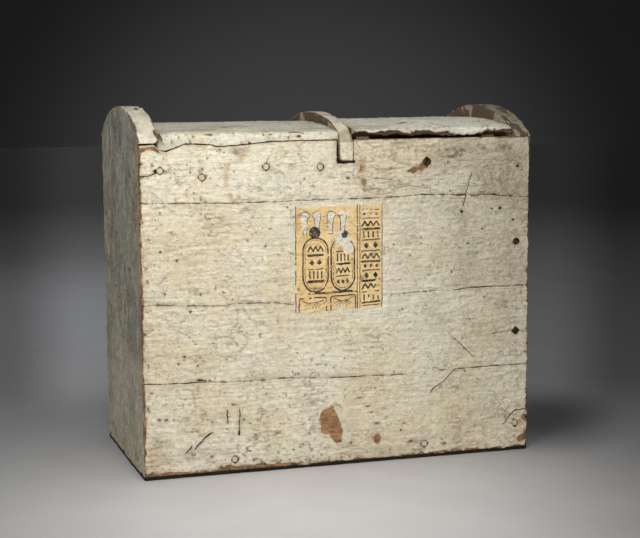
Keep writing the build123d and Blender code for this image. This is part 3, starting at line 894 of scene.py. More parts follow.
def wall_plank(wall, level):
    """One plank of a wall."""
    node = f"{wall}_{level}_plank"
    low, high = extent(node)
    side = -1 if wall == "front" else 1
    pitch = FRONT_PITCH if wall == "front" else BACK_PITCH
    holes = wall_holes(wall, low[2], high[2])
    tab_low, tab_high = extent("partition_arch_board")
    notch_low, notch_high = tab_low[0] - CLEARANCE, tab_high[0] + CLEARANCE
    notch_bottom, housing_bottom = TAB_BOTTOM - CLEARANCE, 32.0
    inner = side * (HALF_Y - WALL)
    housing = inner + side * 4
    x_marks = [notch_low, notch_high, notch_low - 1, notch_high + 1]
    x_marks += inward(-HALF_X, HALF_X, ARRIS_MARKS)
    y_marks = [side * (HALF_Y - gap) for gap in ARRIS_MARKS] + [housing]
    z_marks = [notch_bottom, notch_bottom - 1, housing_bottom] + inward(low[2], high[2], (0.5, 1.2))
    mark_holes(holes, x_marks, z_marks)
    xs = planes(-HALF_X, HALF_X, pitch, x_marks)
    ys = planes(min(inner, side * HALF_Y), max(inner, side * HALF_Y), 3.4, y_marks)
    zs = planes(low[2], high[2], pitch, z_marks)
    mid_x, mid_y, mid_z = middles(xs), middles(ys)[:, None], middles(zs)
    in_notch = ((mid_x > notch_low) & (mid_x < notch_high))[:, None, None]
    in_housing = (side * mid_y < side * housing) & (mid_z > housing_bottom)
    keep = ~(in_notch & ((mid_z > notch_bottom) | in_housing))
    keep = cut_holes(keep, mid_x, mid_z, (0, 2), holes)
    points, faces = skin(xs, ys, zs, keep)
    depth_x, depth_y = HALF_X - np.abs(points[:, 0]), HALF_Y - side * points[:, 1]
    on_face, on_ends = depth_y < FACE_DEPTH, depth_x < FACE_DEPTH
    cover = front_coat if wall == "front" else back_coat
    coat_face, coat_ends = cover(points[on_face]), end_coat(points[on_ends])
    for hole in holes:
        wear_wall_hole(coat_face, depth_y[on_face], *hole)
    end_part = (on_ends, coat_ends, thinning(depth_x[on_ends]))
    face_part = (on_face, coat_face, thinning(depth_y[on_face]))
    values = values_of([end_part, face_part], len(points))
    at_ends = values_of([end_part], len(points))
    more_end = on_ends & (depth_x < depth_y)
    values = {label: np.where(more_end, at_ends[label], values[label]) for label in values}
    coats = ((1, [side * HALF_Y], on_face, coat_face), (0, [-HALF_X, HALF_X], on_ends, coat_ends))
    out = wall_form(bore(points, (0, 2), holes), wall, coats)
    make_board(node, "carcass", out, faces, GESSO_WALL, values)


# Arched boards


def arch_height(y, rise):
    """The height of a three-centred arch above its springing: the crown's circle up to the
    point where the arch has turned 14 degrees, and outside it the shoulder's circle, which
    meets the springing at 44 degrees."""
    spring, turn = math.radians(44), math.radians(14)
    across = math.sin(spring) - math.sin(turn)
    upward = math.cos(turn) - math.cos(spring)
    drop = 1 - math.cos(turn)
    scale = across * drop - upward * math.sin(turn)
    shoulder = (HALF_Y * drop - rise * math.sin(turn)) / scale
    crown = (across * rise - upward * HALF_Y) / scale
    centre_y = (crown - shoulder) * math.sin(turn)
    centre_z = rise - crown + (crown - shoulder) * math.cos(turn)
    y = np.abs(y)
    meet = crown * math.sin(turn)
    over = rise - crown + np.sqrt(crown**2 - np.minimum(y, meet) ** 2)
    side = centre_z + np.sqrt(np.maximum(shoulder**2 - (y - centre_y) ** 2, 0))
    return np.maximum(np.where(y < meet, over, side), 0.35)


def above_rim(points):
    """Which points belong to an arch."""
    return points[:, 2] > RIM + 0.01


def arch_coat(points, x_low, x_high, top):
    """The coat on an arched board above the rim: over the top, down both sides."""
    coat = Coat(points, points[:, 1], points[:, 2], 1)
    on_right_end = x_low > 0.8 * HALF_X
    side = np.minimum(points[:, 0] - x_low, x_high - points[:, 0])
    crest = top - points[:, 2]
    left_front = 1.6 * step_up(-points[:, 1], 30, 90) * (points[:, 0] < (x_low + x_high) / 2)
    coat.bare(arris_wear(points, 95, 0.7, 2.6) + left_front - np.hypot(side, crest), 0.5)
    on_side = (side < 0.5) & (crest > 1)
    toward_front = step_up(-points[:, 1], 40, 125)
    patches = 14 * rough(points, 24, 97, 3) + 3.5 - 9 * toward_front
    coat.bare(np.where(on_side, np.minimum(patches, 3), -4), 0.5)
    worn = 12 * rough(points, (12, 22, 12), 98, 2) - (3.6 if on_right_end else 5.5)
    coat.bare(np.where(crest < 0.5, worn, -4), 0.5)
    rear = 0.35 * step_up(points[:, 1], -90, 0)
    dirty = 0.1 + rear + 0.5 * step_up(rough(points, 20, 99, 3), 0.05, 0.5)
    if on_right_end:
        dirty = dirty + 0.75
        coat.yellow(0.6)
    coat.soil_and_shade(np.where(on_side, 0.75, dirty))
    return coat


def arch_form(points, coat, x_low, x_high, rise):
    """Draws the part of a block above the rim into an arch: its sides and top are pulled in
    by the coat, its arrises rounded, and its height taken from the arch at that y."""
    top = RIM + rise
    out = points.copy()
    above = above_rim(points)
    radius = 2.8 + 1.6 * rough(points, 24, 101, 2)
    crest = np.where(above, top - points[:, 2], FAR)
    left, crest_left = round_off(points[:, 0] - x_low, crest, radius)
    right, crest_right = round_off(x_high - points[:, 0], crest, radius)
    out[:, 0] = np.where(points[:, 0] < (x_low + x_high) / 2, x_low + left, x_high - right)
    drop = np.maximum(crest_left, crest_right) - crest
    pull = np.where(above, coat.sunk, 0)
    drop = drop + pull * fade(crest, BEND)
    scale = arch_height(points[:, 1], rise) / rise
    height = (points[:, 2] - RIM) * scale
    lowered = drop * np.clip(scale * 1.5, 0.2, 1)
    out[:, 2] = np.where(above, RIM + np.maximum(height - lowered, 0.1 * scale), points[:, 2])
    return out


def end_board(side, half):
    """One board of an end: square below the rim, arched above it, where it is thinner by the
    ledge under the lid."""
    node = f"{side}_end_{half}_board"
    low, high = extent(node)
    sign = -1 if side == "left" else 1
    outer, inner = sign * HALF_X, sign * (HALF_X - (high[0] - low[0]))
    ledge = inner + sign * 8
    top = max(extent(f"{side}_end_{name}_board")[1][2] for name in ("front", "back"))
    rise = top - RIM
    holes = [
        (*((start + stop) / 2)[1:], PEG_HOLE)
        for start, stop in peg_places("end_floor_pegs", 0)
        if start[0] * sign > 0 and low[1] < (start[1] + stop[1]) / 2 < high[1]
    ]
    x_low, x_high = min(outer, ledge), max(outer, ledge)
    joint = high[1] if half == "front" else low[1]
    x_marks = [ledge] + [place + way * gap for gap in ARRIS_MARKS
                         for place, way in ((outer, -sign), (ledge, sign))]
    y_marks = inward(-HALF_Y, HALF_Y, (0.8, 2.0, 3.5, WALL))
    y_marks += [joint + gap for gap in (-1.3, -0.6, 0.6, 1.3)]
    z_marks = []
    mark_holes(holes, y_marks, z_marks)
    xs = planes(low[0], high[0], 5.0, x_marks)
    ys = planes(low[1], high[1], END_PITCH, y_marks)
    below = planes(0, RIM, END_PITCH, z_marks)
    above = planes(RIM, top, END_PITCH, [top - gap for gap in ARRIS_MARKS])
    zs = np.unique(np.concatenate([below, above]))
    mid_x, mid_y, mid_z = middles(xs), middles(ys), middles(zs)
    lower = (mid_z < RIM) & (np.abs(mid_y) < HALF_Y - WALL)[:, None]
    upper = (mid_z > RIM) & (sign * mid_x > sign * ledge)[:, None, None]
    keep = cut_holes(lower[None] | upper, mid_y, mid_z, (1, 2), holes)
    points, faces = skin(xs, ys, zs, keep)
    coat_out, coat_arch = end_coat(points), arch_coat(points, x_low, x_high, top)
    for y, z, radius in holes:
        past = np.hypot(points[:, 1] - y, points[:, 2] - z) - radius
        wear_hole(coat_out, 0.5 + 0.9 * rough(points, 4, 93), past, 0.7, 0.8, 1.5)
    above = above_rim(points)
    depth, behind = sign * (outer - points[:, 0]), sign * (points[:, 0] - ledge)
    crest = top - points[:, 2]
    near = np.minimum.reduce([behind, crest, HALF_Y - np.abs(points[:, 1]), depth])
    flat, bent = values_under(coat_out, thinning(depth)), values_under(coat_arch, thinning(near))
    on_face = (depth < 0.1) | ~above
    values = {label: np.where(on_face, flat[label], bent[label]) for label in flat}
    worn = np.hypot(depth, crest) - arris_wear(points, 95, 1.3, 3.0)
    values["kept"] = np.where(on_face & above, np.minimum(values["kept"], worn), values["kept"])
    out = arch_form(bore(points, (1, 2), holes), coat_arch, x_low, x_high, rise)
    pull_in(out, 0, outer, coat_out.sunk)
    side_pull = np.where(above, coat_arch.sunk * 0.4, 0)
    out[:, 0] += sign * side_pull * fade(sign * (out[:, 0] - ledge), BEND)
    for face in (-HALF_Y, HALF_Y):
        pull_in(out, 1, face, np.where(above & (out[:, 1] * face > 0), coat_arch.sunk, 0))
    if side == "left":
        reach = fade(ledge - out[:, 0], FLARE_REACH)
        out[:, 0] += np.where(above, flare(out[:, 1], out[:, 2]) * reach, 0)
    out = np.where(above[:, None], out, wander_ends(out))
    make_board(node, "carcass", out, faces, GESSO_END, values)


def wander_ends(points):
    """Keeps an end board's joint from running dead straight."""
    points = points.copy()
    share = fade(np.abs(points[:, 1] - end_joint()), 20)
    high = np.clip((RIM - points[:, 2]) / 30, 0, 1)
    points[:, 1] += share * high * 1.6 * rough(line_at(z=points[:, 2]), 60, 103, 3)
    return points


def partition_arch():
    """The partition's arched board, with its two tabs."""
    node = "partition_arch_board"
    low, high = extent(node)
    rise, centre, half = high[2] - RIM, (low[0] + high[0]) / 2, (high[0] - low[0]) / 2
    inside = HALF_Y - WALL
    reach = inside + 4
    y_marks = [sign * place for place in (reach, inside) for sign in (-1, 1)]
    y_marks += inward(-HALF_Y, HALF_Y, EDGE_MARKS)
    xs = planes(low[0], high[0], 2.4 * COARSE, inward(low[0], high[0], ARRIS_MARKS))
    ys = planes(-HALF_Y, HALF_Y, ARCH_PITCH, y_marks)
    below = planes(low[2], RIM, 2.2 * COARSE, [TAB_BOTTOM + gap for gap in (0, 0.7, 1.6, 3)])
    above = planes(RIM, high[2], 2.0 * COARSE, [high[2] - gap for gap in ARRIS_MARKS])
    zs = np.unique(np.concatenate([below, above]))
    wide = (middles(zs) > TAB_BOTTOM) | (np.abs(middles(ys)) < reach)[:, None]
    points, faces = skin(xs, ys, zs, np.ones((len(xs) - 1, 1, 1), bool) & wide)
    x, y, z = points.T
    coat = arch_coat(points, low[0], high[0], high[2])
    front_gap = HALF_Y - np.abs(y)
    tab = front_gap < 0.5
    edge = np.minimum(x - low[0], high[0] - x)
    edge = np.minimum(edge, np.where(tab, z - TAB_BOTTOM, FAR))
    to_right = 2.5 * (x > centre) * (z > TAB_BOTTOM + 3)
    coat.bare(np.where(tab, arris_wear(points, 105, 0.7, 1.4) - edge - to_right, -4), 0.4)
    # Darker near the tab's edges, and less so at its right: painted shade, with dirt.
    coat.dirt_and_shade = np.where(tab, 0.02 + 0.55 * close_to(edge + to_right, 1.5), coat.dirt_and_shade)
    out = arch_form(points, coat, low[0], high[0], rise)
    inner_way = np.sign(centre - out[:, 0])
    side_pull = np.where(above_rim(points) | tab, coat.sunk * 0.6, 0)
    side_pull = np.where(tab & (out[:, 0] > centre), coat.sunk * 0.1, side_pull)
    out[:, 0] += inner_way * side_pull * fade(half - np.abs(out[:, 0] - centre), BEND)
    under = np.maximum(RIM + arch_height(y, rise) - out[:, 2], 0)
    gap_y, gap_z = round_off(front_gap, under, 13.0)
    out[:, 1] = np.sign(y) * (HALF_Y - gap_y)
    out[:, 2] += under - gap_z
    outside = np.abs(y) > inside
    tab_x, tab_y = round_off(half - np.abs(out[:, 0] - centre), HALF_Y - np.abs(out[:, 1]), 1.8)
    out[:, 0] = np.where(outside, centre - inner_way * (half - tab_x), out[:, 0])
    out[:, 1] = np.where(outside, np.sign(out[:, 1]) * (HALF_Y - tab_y), out[:, 1])
    corner_x, corner_z = round_off(out[:, 0] - low[0], out[:, 2] - TAB_BOTTOM, 6.5)
    low_tab = (np.abs(y) > reach - 0.1) & (z < RIM) & (x < centre)
    out[:, 0] = np.where(low_tab, low[0] + corner_x, out[:, 0])
    out[:, 2] = np.where(low_tab, TAB_BOTTOM + corner_z, out[:, 2])
    for face in (-HALF_Y, HALF_Y):
        pull_in(out, 1, face, np.where(out[:, 1] * face > 0, coat.sunk * 0.8, 0))
    near = np.minimum.reduce([edge, high[2] - z, front_gap])
    bare_below = (z < RIM - 1) & (front_gap > 0.5)
    values = values_under(coat, np.where(bare_below, -3.0, thinning(near)))
    make_board(node, "carcass", out, faces, GESSO_ARCH, values)


# Lids, in x and z: the bitten lower edge of the right one's front, and the top of what has no
# coat above it

LID_BITES = [(17, 458.5), (36, 459.5), (44, 458.0), (57, 455.5), (66, 453.2), (74, 455.6),
             (84, 456.5), (93, 454.0), (101, 452.8), (113, 454.6), (124, 455.5), (134, 454.5),
             (143, 453.2), (152, 452.5), (166, 452.5), (196, 452.5), (205, 453.6), (212, 456.6),
             (226, 457.2), (241, 456.6), (248, 454), (253, 453)]
BARE_EDGE = [(17, 461.0), (36, 460.5), (44, 459.0), (52, 460.5), (62, 461.0), (74, 461.2),
             (84, 460.8), (92, 457.0), (100, 456.0), (108, 460.4), (118, 460.8), (128, 459.5),
             (138, 456.6), (146, 458.4), (156, 457.6), (166, 454.6), (178, 453.4), (196, 453.0),
             (206, 456.4), (216, 459.6), (228, 459.0), (238, 460.0), (246, 461.0), (253, 460)]
# Cracks with half their widths and bare spots with their depths, in x and y
LID_CRACKS = {
    "left": [(0.3, [(-128, -112), (-108, -120), (-96, -116)]),
             (0.4, [(-252, -80), (-244, -110), (-239, -138)])],
    "right": [(0.5, [(158, -143), (156, -128), (150, -118), (149, -96), (144, -84)]),
              (0.24, [(214, -143), (221, -122), (219, -104)])],
}
LID_SPOTS = {
    "left": [(0.8, -64, -138, 7, 2.5), (0.5, -150, -96, 8, 3)],
    "right": [(0.6, 103, -92, 4, 8), (0.6, 112, -84, 3, 5)],
}
# How far the top and the underside rise, and how wide the flat edge of the underside is
LID_RISE, LID_HOLLOW, LID_FLAT = 10.5, 8.5, 26
LID_HOLE = 3.75
# What noise takes a lid's thickness for, and how far back the covered front pegs reach
LID_SCALE = 12
FRONT_PEGS = -40


def vault(y, base, middle, half):
    """The height of a circle's arc that passes base at half from the middle."""
    rise = middle - base
    radius = (half**2 + rise**2) / (2 * rise)
    y = np.minimum(np.abs(y), half)
    return middle - radius + np.sqrt(radius**2 - y**2)


def lid_coat(points, x_low, x_high, side):
    """The coat on a lid, in x and y over its top."""
    x, y, t = points.T
    coat = Coat(np.stack([x, y, LID_SCALE * t], 1), x, y, 0)
    for joint in (-47.0, 47.0):
        width = 0.34 * (1 + 1.1 * rough(line_at(x, joint), 25, 107, 3))
        coat.split(y - joint, np.clip(width, 0.02, 0.7), 1.2, 1.5)
    for half_width, path in LID_CRACKS[side]:
        coat.cracked(path, half_width)
    for sunk, *spot in LID_SPOTS[side]:
        coat.bare(coat.spot(*spot), sunk)
    ends = np.minimum(x - x_low, x_high - x)
    corner = 4 * fade(y + HALF_Y, 50) if side == "left" else 0.0
    coat.bare(arris_wear(points, 109, 0.0, 2.4) - corner - ends, 0.6)
    edge = close_to(np.minimum(ends, HALF_Y - np.abs(y)), 18)
    coat.flecked(111, 5.0, 0.22 * edge)
    coat.flecked(112, 15.0, 0.2 * edge)
    coat.pitted(114, 0.22)
    coat.soil_and_shade(0.5 * close_to(ends, 9))
    blotch = step_up(rough(points, (60, 16, 1), 113, 3), 0.0, 0.45)
    coat.soil_and_shade(step_up(y, -138, -100) * (0.24 if side == "left" else 0.04) + 0.4 * blotch)
    return coat


def close_seam(coat, out, x, y, t, x_low, height, base, edge_top):
    """Lets the left lid follow the seam and the arch's foot at its front, and draws the dark
    line of the seam on its lower edge."""
    out[:, 0] += flare(y, height) * fade(x - x_low, FLARE_REACH)
    out[:, 2] += seam_shift(x) * fade(y + HALF_Y, 8) * (1 - step_up(height, base, edge_top))
    on_front = y < -HALF_Y + 3
    coat.crack_and_shadow = np.where(on_front & (t < 0.5), height - base, coat.crack_and_shadow)
    coat.open = np.where(on_front & (t < 0.3), seam_width(x), np.where(on_front, 0, coat.open))


def bite_edge(out, x, y, t, height, base, edge_top):
    """Lifts the right lid's lower front edge to its bitten line, hollows the bare wood above
    it, and gives how far inside the bare wood each point is."""
    wobble = 1.2 * rough(line_at(x), 10, 117, 3) + 1.1 * rough(line_at(x), 4.5, 118, 2)
    lift = np.maximum(follow(x, LID_BITES) + 0.6 + wobble - base, 0)
    share = np.clip((edge_top - height) / (edge_top - base), 0, 1)
    out[:, 2] += lift * np.sqrt(fade(y + HALF_Y, 22)) * share
    bare_here = follow(x, BARE_EDGE) + 1.2 * wobble - out[:, 2]
    chipped = step_up(bare_here, -0.4, 1.2) * fade(y + HALF_Y, 10)
    hollow = 1.5 + 2.2 * rough(np.stack([x, y, LID_SCALE * t], 1), (16, 16, 5), 119, 2)
    out[:, 1] += np.maximum(hollow, 0.5) * chipped
    return bare_here


def lid_board(side, board):
    """One board of a lid: a block whose height is drawn between the hollow underside, flat
    along its front and back edges, and the vaulted top."""
    node = f"{side}_lid_{board}_board"
    low, high = extent(node)
    base = extent(f"{side}_lid_front_board")[0][2]
    crown = extent(f"{side}_lid_crown_board")[1][2]
    edge_top = crown - LID_RISE
    holes = [
        (*((start + stop) / 2)[:2], LID_HOLE)
        for start, stop in peg_places(f"{side}_lid_pegs", 2)
        if low[1] < (start[1] + stop[1]) / 2 < high[1] and start[1] > FRONT_PEGS
    ]
    x_marks = inward(low[0], high[0], EDGE_MARKS[:3])
    y_marks = inward(-HALF_Y, HALF_Y, (0.7, 1.6, 2.8, 4.2, 6)) + inward(low[1], high[1], (0.6,))
    mark_holes(holes, x_marks, y_marks)
    xs = planes(low[0], high[0], LID_PITCH, x_marks)
    ys = planes(low[1], high[1], LID_PITCH, y_marks)
    ts = np.array([0, 0.09, 0.18, 0.28, 0.38, 0.48, 0.58, 0.68, 0.77, 0.85, 0.92, 0.97, 1.0])
    keep = np.ones((len(xs) - 1, len(ys) - 1, len(ts) - 1), bool)
    keep = cut_holes(keep, middles(xs), middles(ys), (0, 1), holes)
    points, faces = skin(xs, ys, ts, keep)
    x, y, t = points.T
    coat = lid_coat(points, low[0], high[0], side)
    for hole_x, hole_y, radius in holes:
        past = np.hypot(x - hole_x, y - hole_y) - radius
        wear_hole(coat, 0.3 + 0.8 * rough(coat.points, 4, 93), past, 0.6, 0.7, 1.4)
    out = bore(points, (0, 1), holes)
    top = vault(y, edge_top, crown, HALF_Y)
    hollow = HALF_Y - LID_FLAT
    under = np.where(np.abs(y) > hollow, base, vault(y, base, base + LID_HOLLOW, hollow))
    height = under + t * (top - under)
    front_gap = HALF_Y - np.abs(y)
    radius = 5.5 + 1.5 * rough(coat.points, 40, 115, 2)
    gap_y, gap_top = round_off(front_gap, top - height, radius)
    gap_x = np.minimum(out[:, 0] - low[0], high[0] - out[:, 0])
    new_x, gap_top = round_off(gap_x, gap_top, 2.0)
    gap_top = gap_top + coat.sunk * fade(gap_top, BEND)
    gap_y = gap_y + coat.sunk * fade(gap_y, BEND)
    out[:, 0] = np.where(x < (low[0] + high[0]) / 2, low[0] + new_x, high[0] - new_x)
    out[:, 1] = np.sign(y) * (HALF_Y - gap_y)
    out[:, 2] = np.maximum(top - gap_top, under)
    end_gap = np.where(height > edge_top - 13, gap_x, FAR)
    thickness = thinning(np.minimum.reduce([front_gap, top - height, end_gap]))
    on_front = y < -HALF_Y + 0.5
    thickness = np.where(on_front | (t > 0.99), 4.0, thickness)
    if side == "left":
        close_seam(coat, out, x, y, t, low[0], height, base, edge_top)
    else:
        bare_here = bite_edge(out, x, y, t, height, base, edge_top)
        thickness = np.where(on_front, np.minimum(thickness, -bare_here), thickness)
    values = values_under(coat, thickness)
    make_board(node, f"{side}_lid", out, faces, GESSO_LID, values)


# Pegs: how deep their outer ends lie where the coat covers them, and where they show

COVERED_DEPTH, SHOWN_DEPTH = 2.6, 0.45


def whittled_peg(number, low, high, axis, face, radius):
    """One peg between two corners: a ring of points at each step along it, whose radius is
    cut by a few flats, closed by a point at each end. Gives points, squares and triangles."""
    centre = (low + high) / 2
    out = 1.0 if centre[axis] > 0 else -1.0
    close = low[axis] if out > 0 else high[axis]
    turn = np.linspace(0, 2 * math.pi, 20, endpoint=False)
    flats = 1 - 0.035 * np.abs(np.sin(turn * 3.5 + number * 1.7))
    steps = [(face - out * 0.1, 0.5), (face - out * 0.25, 0.86), (face - out * 0.9, 1.0),
             (face - out * 8, 0.99), (close + out * 0.2, 0.97)]
    first, second = [a for a in range(3) if a != axis]
    rings = np.zeros((len(steps), len(turn), 3))
    for ring, (place, share) in zip(rings, steps):
        ring[:, axis] = place
        ring[:, first] = centre[first] + radius * share * flats * np.cos(turn)
        ring[:, second] = centre[second] + radius * share * flats * np.sin(turn)
    tips = np.repeat(centre[None], 2, 0)
    tips[0, axis], tips[1, axis] = face, close
    count = len(turn)
    row, column = np.meshgrid(np.arange(len(steps) - 1), np.arange(count), indexing="ij")
    a, b = row * count + column, row * count + (column + 1) % count
    quads = np.stack([a, b, b + count, a + count], -1).reshape(-1, 4)
    rim = np.arange(count)
    last, tip = rim + (len(steps) - 1) * count, np.full(count, len(steps) * count)
    caps = np.concatenate([np.stack([tip, np.roll(rim, -1), rim], 1),
                           np.stack([tip + 1, last, np.roll(last, -1)], 1)])
    if (out > 0) != (axis == 1):
        quads, caps = quads[:, ::-1], caps[:, ::-1]
    return np.concatenate([rings.reshape(-1, 3), tips]), quads, caps


def whittled_pegs(name, axis, depths, radius, body):
    """The pegs of a CAD node. One that has broken off lies deeper, bare and dark: its end
    is darkened and crossed by broken black lines as painted shade in its recess, with dirt.
    """
    parts, broken = [], []
    for number, (low, high) in enumerate(peg_places(name, axis)):
        centre = (low + high) / 2
        lost = axis == 1 and sunk_peg(centre)
        deep = depths(centre) + (COVERED_DEPTH if lost else 0.0)
        face = high[axis] - deep if centre[axis] > 0 else low[axis] + deep
        parts.append(whittled_peg(number, low, high, axis, face, radius))
        broken.append(lost)
    size = len(parts[0][0])
    points = np.concatenate([part[0] for part in parts])
    faces = [np.concatenate([part[kind] + size * number for number, part in enumerate(parts)])
             for kind in (1, 2)]
    kept = np.concatenate([np.repeat([2.5, 1.2, -1.5, -4, -4], (size - 2) // 5), [3, -4]])
    lost = np.repeat(broken, size)
    # A broken peg's end: full darkness and broken black lines, painted shade in its recess, with
    # dirt.
    values = {
        "kept": np.tile(kept, len(parts)) - 6 * lost + 1.2 * rough(points, 3, 121, 1),
        "crack_and_shadow": np.where(lost, 0.42, 9.0),
        "open": np.full(len(points), 0.5),
        "dirt_and_shade": np.where(lost, 1.0, 0.35),
        "stain": np.zeros(len(points)),
    }
    make_piece(f"{name}_whittled", points, faces, body, [name], GESSO_PEG, values, 35)


def wall_peg_depth(wall):
    """A function that gives how deep the outer end of a wall's peg lies."""
    side = -1 if wall == "front" else 1

    def depth(centre):
        """Just behind the coat where the peg shows, and under it where it doesn't."""
        place = np.array([[centre[0], side * HALF_Y, centre[2]]])
        cover = relief(place, 0)[0]
        return cover + (COVERED_DEPTH if hidden(centre[0], centre[2], wall) else SHOWN_DEPTH)

    return depth


def end_peg_depth(centre):
    """How deep the outer end of a peg through an end board lies."""
    place = np.array([[np.sign(centre[0]) * HALF_X, centre[1], centre[2]]])
    return relief(place, 2)[0] + SHOWN_DEPTH


def lid_peg_depth(centre):
    """How deep the upper end of a lid's peg lies, below the highest point of its solid."""
    return COVERED_DEPTH if centre[1] < FRONT_PEGS else 1.5


# The painted panel, in x and z

PANEL_LOW, PANEL_HIGH = (-68.5, 218.5), (60.0, 363.0)
OVALS = [(-37.8, 282.5, 18.0, 35.5), (1.2, 281.5, 16.6, 34.5)]
PLUMES = [(-52.5, 1), (-35.5, -1), (-16.0, 1), (1.0, -1)]


def oblong(u, v, centre_u, centre_v, half_u, half_v, corner):
    """Distance inside an upright oblong with round corners."""
    a = np.abs(u - centre_u) - half_u + corner
    b = np.abs(v - centre_v) - half_v + corner
    outside = np.hypot(np.maximum(a, 0), np.maximum(b, 0)) + np.minimum(np.maximum(a, b), 0)
    return corner - outside


def stroke(u, v, path, half_width):
    """Distance inside a line of the given half width."""
    gap, _ = line_distance(u, v, path)
    return half_width - np.abs(gap)


def disc(u, v, centre_u, centre_v, radius):
    """Distance inside a circle."""
    return radius - np.hypot(u - centre_u, v - centre_v)


def zigzag(left, right, low, high, count):
    """A line that runs up and down between two heights."""
    return [(x, high if turn % 2 else low)
            for turn, x in enumerate(np.linspace(left, right, 2 * count + 1))]


def plume_outline(x, lean):
    """A plume: narrow below, wide above, its tip rolled to one side."""
    half = [(-2.6, 323), (-3.4, 335), (-5.4, 345), (-5.6, 350), (-2.4, 353.4), (2.4, 353.4),
            (6.2, 351.5), (7.4, 348.2), (5.2, 346.4), (3.6, 343), (3.0, 335), (2.8, 323)]
    return [(x + lean * across, z) for across, z in half]


def bands(u, v, middle, half, rows):
    """A column of plain bands, from the top down: bars, zigzags, rows of dots and lozenges,
    and upright bars."""
    marks = []
    for kind, z, size in rows:
        if kind == "bar":
            marks.append(stroke(u, v, [(middle - half, z), (middle + half, z + 0.4)], size))
        elif kind == "zigzag":
            path = zigzag(middle - half, middle + half, z - size, z + size, 3)
            marks.append(stroke(u, v, path, 1.15))
        elif kind == "dots":
            for x in (-0.7, 0, 0.7):
                marks.append(disc(u, v, middle + x * half, z, size))
        elif kind == "lozenges":
            for x in (middle - 0.52 * half, middle + 0.52 * half):
                marks.append(area_distance(u, v, [(x - size, z), (x, z + size * 1.2), (x + size, z),
                                                  (x, z - size * 1.2)]))
        else:
            for x in np.linspace(middle - 0.8 * half, middle + 0.8 * half, 4):
                marks.append(stroke(u, v, [(x, z - size), (x, z + size)], 1.15))
    return marks


def panel_ink(u, v):
    """Distance inside the dark lines: rulings, plumes, discs, two ovals and a column filled
    with plain bands, and a fan of rays in each of two boxes below."""
    marks = []
    for x, half_width in ((-66.2, 0.75), (21.8, 0.7), (25.6, 0.6), (57.6, 0.7)):
        marks.append(stroke(u, v, [(x, 219), (x + 0.6, 361)], half_width))
    marks.append(stroke(u, v, [(-60, 245.0), (21, 244.4)], 0.7))
    for x, lean in PLUMES:
        marks.append(0.62 - np.abs(area_distance(u, v, plume_outline(x, lean))))
    marks.append(disc(u, v, -38.6, 325.5, 8.2))
    marks.append(disc(u, v, 3.6, 321.0, 6.0))
    for oval in OVALS:
        ring = oblong(u, v, *oval, oval[2])
        marks.append(1.15 - np.abs(ring))
        marks.append(0.42 - np.abs(ring - 3.0))
        x, low = oval[0], oval[1] - oval[3] - 1.3
        marks.append(stroke(u, v, [(x - 13, low), (x + 13, low)], 1.0))
    marks += bands(u, v, OVALS[0][0], 10.5, [
        ("zigzag", 303, 3.2), ("bar", 294, 1.7), ("lozenges", 284, 4.0), ("bar", 275, 0.8),
        ("uprights", 267.5, 4.2), ("bar", 259, 1.7)])
    marks += bands(u, v, OVALS[1][0], 9.5, [
        ("bar", 298, 0.9), ("uprights", 290, 4.4), ("bar", 281, 1.6), ("zigzag", 272, 3.0),
        ("bar", 264.5, 0.8), ("dots", 257.5, 2.3)])
    marks += bands(u, v, 41.6, 12.6, [
        ("bar", 354, 0.6), ("dots", 348, 1.9), ("bar", 342, 0.6), ("zigzag", 335, 3.0),
        ("bar", 327.5, 1.6), ("uprights", 320, 3.6), ("bar", 312.5, 0.8), ("lozenges", 305, 3.9),
        ("bar", 297.5, 0.8), ("zigzag", 290, 3.2), ("bar", 282.5, 1.6), ("dots", 276.5, 2.4),
        ("bar", 270.5, 0.8), ("lozenges", 263.5, 3.9), ("bar", 256.5, 1.6), ("zigzag", 249.5, 3.2),
        ("bar", 242, 0.8), ("uprights", 235, 3.6), ("bar", 227.5, 1.5), ("bar", 223.2, 0.7)])
    for x, half in ((-42.0, 19.5), (1.5, 17.5)):
        marks.append(0.9 - np.abs(oblong(u, v, x, 227.5, half, 13.0, 3.0)))
        bow = [(x - half + 4, 238), (x - 8, 235.4), (x, 234.4), (x + 8, 235.4), (x + half - 4, 238)]
        marks.append(stroke(u, v, bow, 0.6))
        for angle in np.radians(np.arange(215, 330, 18)):
            ray = [(x + reach * math.cos(angle), 237 + 0.75 * reach * math.sin(angle))
                   for reach in (6.5, 15.5)]
            marks.append(stroke(u, v, ray, 0.6))
    return np.max(marks, axis=0)


